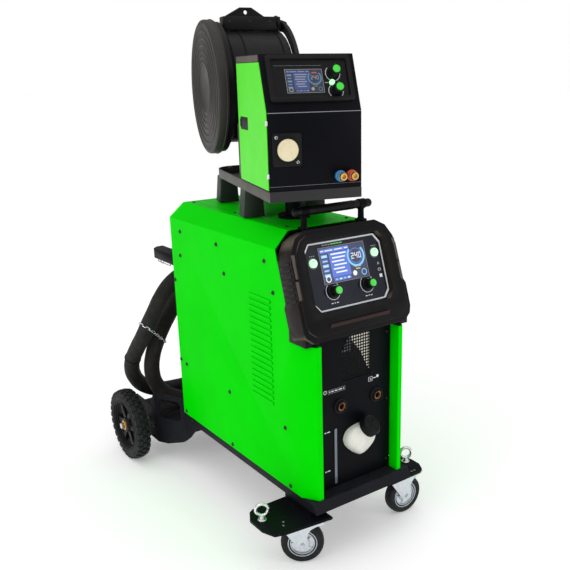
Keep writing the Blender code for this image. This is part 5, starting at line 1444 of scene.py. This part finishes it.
def panel_print():
    """The fascia's white and grey print: a frame, two dials, dashes for words and three small signs."""
    prints = Piece("panel_print", "chassis", PANEL)
    low, top, frame_top = 0.0011, 0.0014, 0.0019

    def dash(u, width, v0, v1, material):
        prints.add(box((u - width / 2, v0, low), (u + width / 2, v1, top), 0), material)

    octagon = [(0.108, 0.087), (-0.108, 0.087), (-0.125, 0.064), (-0.125, -0.068), (-0.108, -0.088),
               (0.108, -0.088), (0.125, -0.068), (0.125, 0.064)][::-1]
    prints.add(ring_plate(octagon, inset(octagon, 0.0040), low, frame_top), "print")
    prints.add(frame_line(-0.0785, -0.0225, 0.0695, 0.0725, 0.0015, low, frame_top), "grey_print")
    for sign in (-1, 1):
        dial(prints, sign * KNOB_U, KNOB_V, top)
        for k, width in enumerate((0.007, 0.004, 0.006)):
            dash(sign * KNOB_U - 0.0095 + k * 0.0085, width, -0.0730, -0.0705, "print")
        for k in range(3):
            dash(sign * BUTTON_U - 0.006 + k * 0.006, 0.0044, 0.0540, 0.0562, "grey_print")
        prints.add(arc_band(0.0133, 0.0142, 0, 360, top, 40), "grey_print",
                   shift(sign * BUTTON_U, BUTTON_V, 0))
    for k in range(7):
        dash(-0.060 + k * 0.0095, 0.0072, 0.0765, 0.0795, "grey_print" if k < 3 else "lit_core")
    signs_u = 0.106
    prints.add(ring_plate(circle(0.0042, 3, signs_u, 0.006, 1.57), circle(0.0026, 3, signs_u, 0.006, 1.57),
                          low, top), "print")
    prints.add(ring_plate(rounded(0.0045, 0.0035, 0.0006, 1, signs_u, -0.010),
                          rounded(0.0034, 0.0024, 0.0004, 1, signs_u, -0.010), low, top), "print")
    prints.add(box((0.1030, -0.0315, low), (0.1120, -0.0225, top), 0), "print")
    prints.done()


def control_panel():
    """The control panel's print, display, knobs and buttons, and the plain strip under it."""
    panel_print()
    screen = Piece("panel_display", "chassis", PANEL)
    lcd(screen, -0.0765, -0.0205, 0.0675, 0.0705, 0.0013, "240")
    screen.done()
    for name, sign in (("left", -1), ("right", 1)):
        knob("turn_knob_" + name, "knob_" + name, PANEL @ shift(sign * KNOB_U, KNOB_V, 0.0013), 0.0290,
             "panel_knob_" + name)
        button = Piece("button_mark_" + name, "button_" + name, PANEL @ shift(sign * BUTTON_U, BUTTON_V, 0.0))
        button.add(arc_band(0.0052, 0.0066, -60, 240, 0.0057, 32), "lit_core")
        button.add(box((-0.0007, 0.0035, 0.0051), (0.0007, 0.0078, 0.0058), 0), "lit_core")
        button.done("lit_button")
    strip = Piece("plain_name_strip", "chassis", facing((0, FOLD_Y - 0.0428, 0.6820), (0, -0.99, -0.14)))
    strip.add(slab(rounded(0.098, 0.0095, 0.002, 3), 0.0, 0.0007, 0.0002), "name_strip")
    strip.done("black_plastic")


def feeder_display():
    """The feeder's small display, its print and its two knobs."""
    prints = Piece("feeder_print", "feeder", DISPLAY)
    z = 0.0047
    low = z - 0.0006
    knobs = (("upper", "a", 0.0575, 0.0195), ("lower", "b", 0.0595, -0.0240))
    lcd(prints, -0.0625, -0.0260, 0.0290, 0.0300, z, "240", True)
    prints.add(frame_line(-0.0640, -0.0275, 0.0305, 0.0315, 0.0012, low, z + 0.0004), "grey_print")
    outer = rounded(0.0985, 0.0485, 0.010, 4, -0.002, 0.0075)
    inner = rounded(0.0978, 0.0478, 0.0095, 4, -0.002, 0.0075)
    prints.add(ring_plate(outer, inner, low, z), "grey_print")
    prints.add(box((-0.090, 0.0400, low), (0.030, 0.0405, z), 0), "grey_print")
    for _, _, u, v in knobs:
        dial(prints, u, v, z, 0.0178)
    prints.add(box((0.034, -0.0032, low), (0.043, -0.0022, z), 0), "print")
    prints.done()
    for name, letter, u, v in knobs:
        knob("feeder_turn_knob_" + name, "feeder_knob_" + letter, DISPLAY @ shift(u, v, 0.0043), 0.032,
             "feeder_knob_" + name, 0.0145, 0.0092)


# ---------------------------------------------------------------- wire feeder

FEEDER_FACE = FEEDER @ axes((0, FRONT, 0), (1, 0, 0), (0, 0, 1), (0, -1, 0))
FEEDER_SIDE = FEEDER @ axes((-HALF_W - 0.0018, 0, 0), (0, -1, 0), (0, 0, 1), (-1, 0, 0))
FEEDER_REAR = FEEDER @ axes((0, FRONT + FEEDER_D, 0), (-1, 0, 0), (0, 0, 1), (0, 1, 0))


def torch_connector():
    """Screws in the torch flange, and the cream cap with its worn, uneven face."""
    flange = Piece("torch_flange_screws", "feeder", FEEDER_FACE)
    for x, z in ((-0.1010, 1.1470), (-0.0480, 1.0880)):
        add_screw(flange, shift(x, z, 0.0026), 0.0046, 0.0030, "steel", "cross")
    for x, z in ((-0.1010, 1.0880), (-0.0480, 1.1470)):
        add_screw(flange, shift(x, z, 0.0026), 0.0036, 0.0016)
    flange.done("zinc")
    cap = Piece("torch_cap_face", "feeder", FEEDER_FACE @ shift(-0.0745, 1.1175, 0))
    cap.add(lathe([(0.0262, 0.001), (0.0262, 0.0105), (0.0250, 0.0132), (0.0232, 0.0141), (0.0205, 0.0141),
                   (0.0196, 0.0128), (0.0090, 0.0124), (0.0, 0.0128)], 56), "cream")
    for x, y, r in ((-0.008, 0.004, 0.0052), (0.0085, -0.006, 0.0028), (0.0065, 0.008, 0.0022),
                    (-0.003, -0.011, 0.002)):
        cap.add(lathe([(r, 0.0126), (r * 0.85, 0.0134), (r * 0.3, 0.0130), (0, 0.0130)], 22), "cream",
                shift(x, y, 0))
    for k in range(40):
        cap.add(box((0.0256, -0.0008, 0.002), (0.0266, 0.0008, 0.0110), 0.0003), "cream",
                rotation(TAU * k / 40))
    cap.done("cream_plastic", ["torch_socket_cap"])


def couplings():
    """Two coolant quick couplings: a brass hexagon and nipple with a knurled coloured sleeve."""
    for name, x in (("blue", 0.060), ("red", 0.090)):
        part = Piece("coupling_" + name, "feeder", FEEDER_FACE @ shift(x, 1.049, 0))
        part.add(slab(circle(0.0132, 6, turn=0.3), 0.0, 0.0042, 0.0006), "brass")
        outline = []
        for k in range(60):
            knurled = 0.0136 + 0.0004 * (-1) ** k
            outline.append((knurled * math.cos(TAU * k / 60), knurled * math.sin(TAU * k / 60)))
        part.add(slab(outline, 0.0046, 0.0125, 0), name)
        part.add(lathe([(0.0136, 0.0125), (0.0118, 0.0140), (0.0112, 0.0185), (0.0122, 0.0195),
                        (0.0122, 0.0215), (0.0098, 0.0226)], 40), name)
        part.add(lathe([(0.0098, 0.0215), (0.0098, 0.0300), (0.0088, 0.0318), (0.0056, 0.0318),
                        (0.0050, 0.0308), (0.0050, 0.0240), (0, 0.0240)], 36), "brass")
        part.add(lathe([(0.0102, 0.0245), (0.0108, 0.0255), (0.0102, 0.0265)], 36), "brass")
        part.done(name + "_plastic", ["coolant_coupling_" + name])


def feeder_fittings():
    """Seams with painted highlights, the torch connector and couplings on the front, hinges on the door, a
    strip of painted reflection on the side, screws and bolts.
    """
    face = Piece("feeder_face_seams", "feeder", FEEDER_FACE)
    # The two grey lines are painted highlights on edges of the front; the dark line is its upper seam.
    for z0, z1, lift, material in ((1.2026, 1.2040, 0.0003, "grey_print"),
                                   (1.0300, 1.0306, 0.0003, "grey_print"), (1.2014, 1.2026, 0.0002, "void")):
        face.add(box((-0.1195, z0, -0.0008), (0.1195, z1, lift), 0), material)
    face.done("black_paint")
    torch_connector()
    couplings()
    side = Piece("feeder_door_fittings", "door", FEEDER_SIDE)
    for z in (1.180, 1.056):
        add_screw(side, shift(-FRONT - 0.0090, z, 0.0002), 0.0036, 0.0022, "steel", "cross")
        side.add(lathe([(0.0021, -0.006), (0.0030, -0.005), (0.0030, 0.005), (0.0021, 0.006)], 16), "steel",
                 shift(-FRONT - 0.0030, z, -0.0005) @ rotation(math.pi / 2, "X"))
    side.done("zinc")
    # A taupe strip high on the feeder's side: a painted reflection on its black steel.
    reflection_strip = Piece("feeder_trim", "feeder", FEEDER_SIDE)
    outline = [(0.058, 1.3345), (0.2570, 1.3345), (0.2570, 1.3195), (0.055, 1.3195)]
    reflection_strip.add(slab([(-FRONT - x, z) for x, z in outline], -0.0022, 0.0001, 0.0004), "taupe")
    reflection_strip.done("grey_paint")
    spots = grid((-0.108, 0.108), (1.060, 1.190, 1.315))
    screws("feeder_rear_screws", "feeder", FEEDER_REAR, spots, 0.0001, 0.0042, 0.0024)
    bolts = Piece("tray_bolts", "feeder", FEEDER)
    for x, y in grid((-0.085, 0.085), (0.120, 0.300)):
        add_bolt(bolts, shift(x, y, TRAY_TOP + 0.0002), 0.0052, 0.0046, "dark_steel")
    bolts.done("zinc")


def spool():
    """The drum's grooved cover, the bands round its housing, and the screws and ring on its bracket."""
    across = ((0, -1, 0), (0, 0, 1), (-1, 0, 0))
    cover = Piece("spool_cover_disc", "cover", FEEDER @ axes((-0.1248, SPOOL_Y, SPOOL_Z), *across))
    profile = [(0.1800, 0.0), (0.1868, 0.0), (0.1870, 0.0010), (0.1870, 0.0215), (0.1855, 0.0258),
               (0.1815, 0.0283), (0.1760, 0.0290), (0.1725, 0.0278), (0.1695, 0.0272)]
    for r in (0.1560, 0.1360, 0.1180, 0.1000, 0.0840, 0.0700):
        profile += [(r + 0.0042, 0.0272), (r + 0.0026, 0.0288), (r - 0.0010, 0.0290), (r - 0.0030, 0.0268)]
    profile += [(0.0600, 0.0268), (0.0560, 0.0250), (0.0100, 0.0246), (0.0, 0.0246)]
    # The cover's grey-brown colour is a painted reflection on black plastic.
    cover.add(lathe(profile, 128), "cover")
    cover.add(hoop(0.1872, 0.0045, 0.0014, 128, 8), "cover")
    cover.done("grey_plastic", ["spool_cover"], 30)
    drum, r = Piece("spool_drum_bands", "feeder", FEEDER @ axes((0, SPOOL_Y, SPOOL_Z), *across)), 0.1586
    for x in (0.1080, 0.0560, -0.0540):
        band = [(r * math.cos(math.radians(a)), r * math.sin(math.radians(a)), x) for a in range(-38, 219, 3)]
        drum.add(sweep(band, 0.0016, 8), "plastic")
    drum.done("black_plastic")
    bolts = Piece("bracket_fittings", "feeder", FEEDER)
    for x in (-0.075, -0.015, 0.045):
        add_screw(bolts, shift(x, 0.262, 1.4345), 0.0052, 0.0030)
    ring = [(0.0700, SPOOL_Y + 0.030 * math.cos(TAU * k / 40), 1.430 + 0.0195 * math.sin(TAU * k / 40))
            for k in range(40)]
    bolts.add(sweep(ring, 0.0040, 10, True), "plastic")
    bolts.done("black_plastic")


def handle():
    """The lifting handle: one round bar with rounded ends and a ribbed grip, on two posts."""
    start, length, r, end_share = -0.117, 0.255, 0.0113, 0.035
    y, z = FOLD_Y + 0.085, 0.957

    def swell(share, angle):
        end = min(share, 1 - share)
        return r * (1.0 if end > end_share else math.sqrt(max(0.02,
                                                              1 - ((end_share - end) / end_share) ** 2)))

    bar = Piece("lift_handle", "chassis")
    bar.add(sweep([(start + length * k / 96, y, z) for k in range(97)], swell, 28), "plastic")
    for k in range(26):
        x = -0.052 + k * 0.005
        ring = [(x, y + 0.01145 * math.cos(TAU * i / 28),
                 z + 0.01145 * math.sin(TAU * i / 28)) for i in range(28)]
        bar.add(sweep(ring, 0.0006, 5, True), "plastic")
    for x in (-0.083, 0.104):
        post = shift(x, y, 0)
        bar.add(slab(rounded(0.0125, 0.0155, 0.008, 5), 0.9114, 0.9165, 0.0012), "black", post)
        bar.add(lathe([(0.0105, 0.916), (0.0085, 0.921), (0.0082, 0.940), (0.0105, 0.949), (0.0125, 0.957)],
                      28), "black", post)
        bar.add(sweep([(x - 0.0105 + 0.021 * k / 6, y, z) for k in range(7)], 0.0134, 24), "black")
        for side in (-1, 1):
            add_screw(bar, shift(x, y + side * 0.0115, 0.9165), 0.0030, 0.0016)
    bar.done("black_paint", ["top_handle"])


# ---------------------------------------------------------------- rear of the cabinet


def rear_details():
    """The fan's wire guard, the switch's plate and grip, louvres and screws. All of it is guessed."""
    place = axes((0, REAR_Y, 0), (-1, 0, 0), (0, 0, 1), (0, 1, 0))
    guard = Piece("fan_guard", "chassis", place @ shift(0, 0.470, 0.0035))
    for r in (0.014, 0.028, 0.042, 0.056, 0.070):
        guard.add(hoop(r, 0, 0.0013, 56, 8), "steel")
    spoke = [(0.010, 0, -0.0010), (0.040, 0, -0.0014), (0.0745, 0, -0.0010), (0.0800, 0, -0.0016)]
    for k in range(4):
        turn = rotation(math.radians(45 + 90 * k))
        guard.add(sweep(spoke, 0.0016, 8), "steel", turn)
        add_screw(guard, turn @ shift(0.081, 0, -0.0034), 0.0045, 0.0026, "steel", "cross")
    guard.done("zinc")
    switch, top, print_z = place @ shift(-0.105, 0.800, 0), 0.0012, 0.00135
    plate = Piece("switch_plate", "chassis", switch)
    plate.add(slab(rounded(0.030, 0.034, 0.004, 4), 0.0, top, 0.0004), "plastic")
    plate.add(arc_band(0.0225, 0.0240, 20, 160, print_z, 24), "print")
    plate.add(arc_band(0.0028, 0.0036, 0, 360, print_z, 20), "print", shift(0.0235, -0.020, 0))
    plate.add(box((-0.0242, -0.0240, top), (-0.0230, -0.0170, print_z), 0), "print")
    plate.done("black_plastic")
    grip = Piece("switch_grip", "switch", switch @ shift(0, 0, 0.0222))
    grip.add(slab(rounded(0.0042, 0.0165, 0.003, 3), -0.008, 0.0, 0.0010), "red")
    grip.add(box((-0.0007, 0.006, -0.001), (0.0007, 0.0155, 0.0002), 0), "print")
    grip.done("black_plastic")
    slots = Piece("rear_louvres", "chassis", place)
    for k in range(1, 9):
        for x in (-0.045, 0.055):
            outline = rounded(0.036, 0.0042, 0.004, 4, x - 0.004, 0.625 + 0.017 * k)
            slots.add(slab(outline, -0.0006, 0.0026, 0.0016), "black")
    slots.done("black_paint", angle=50)
    spots = grid((-0.155, 0.155), (0.232, 0.400, 0.560, 0.790, 0.860))
    screws("rear_screws", "chassis", place, spots, -0.0004, 0.0048, 0.0026)


camera()
backdrop()
lights()
floor_plane()
coats()
rubbers_and_metals()
small_finishes()
hose_fittings(interconnection_hose())
conduits()
dress_cad()
rear_wheels()
casters()
outrigger_plates()
outrigger_fittings()
cart_fittings()
cradle_fittings()
side_details()
front_sheet()
front_marks()
power_sockets()
filler()
bezel_fittings()
control_panel()
feeder_display()
feeder_fittings()
spool()
handle()
rear_details()
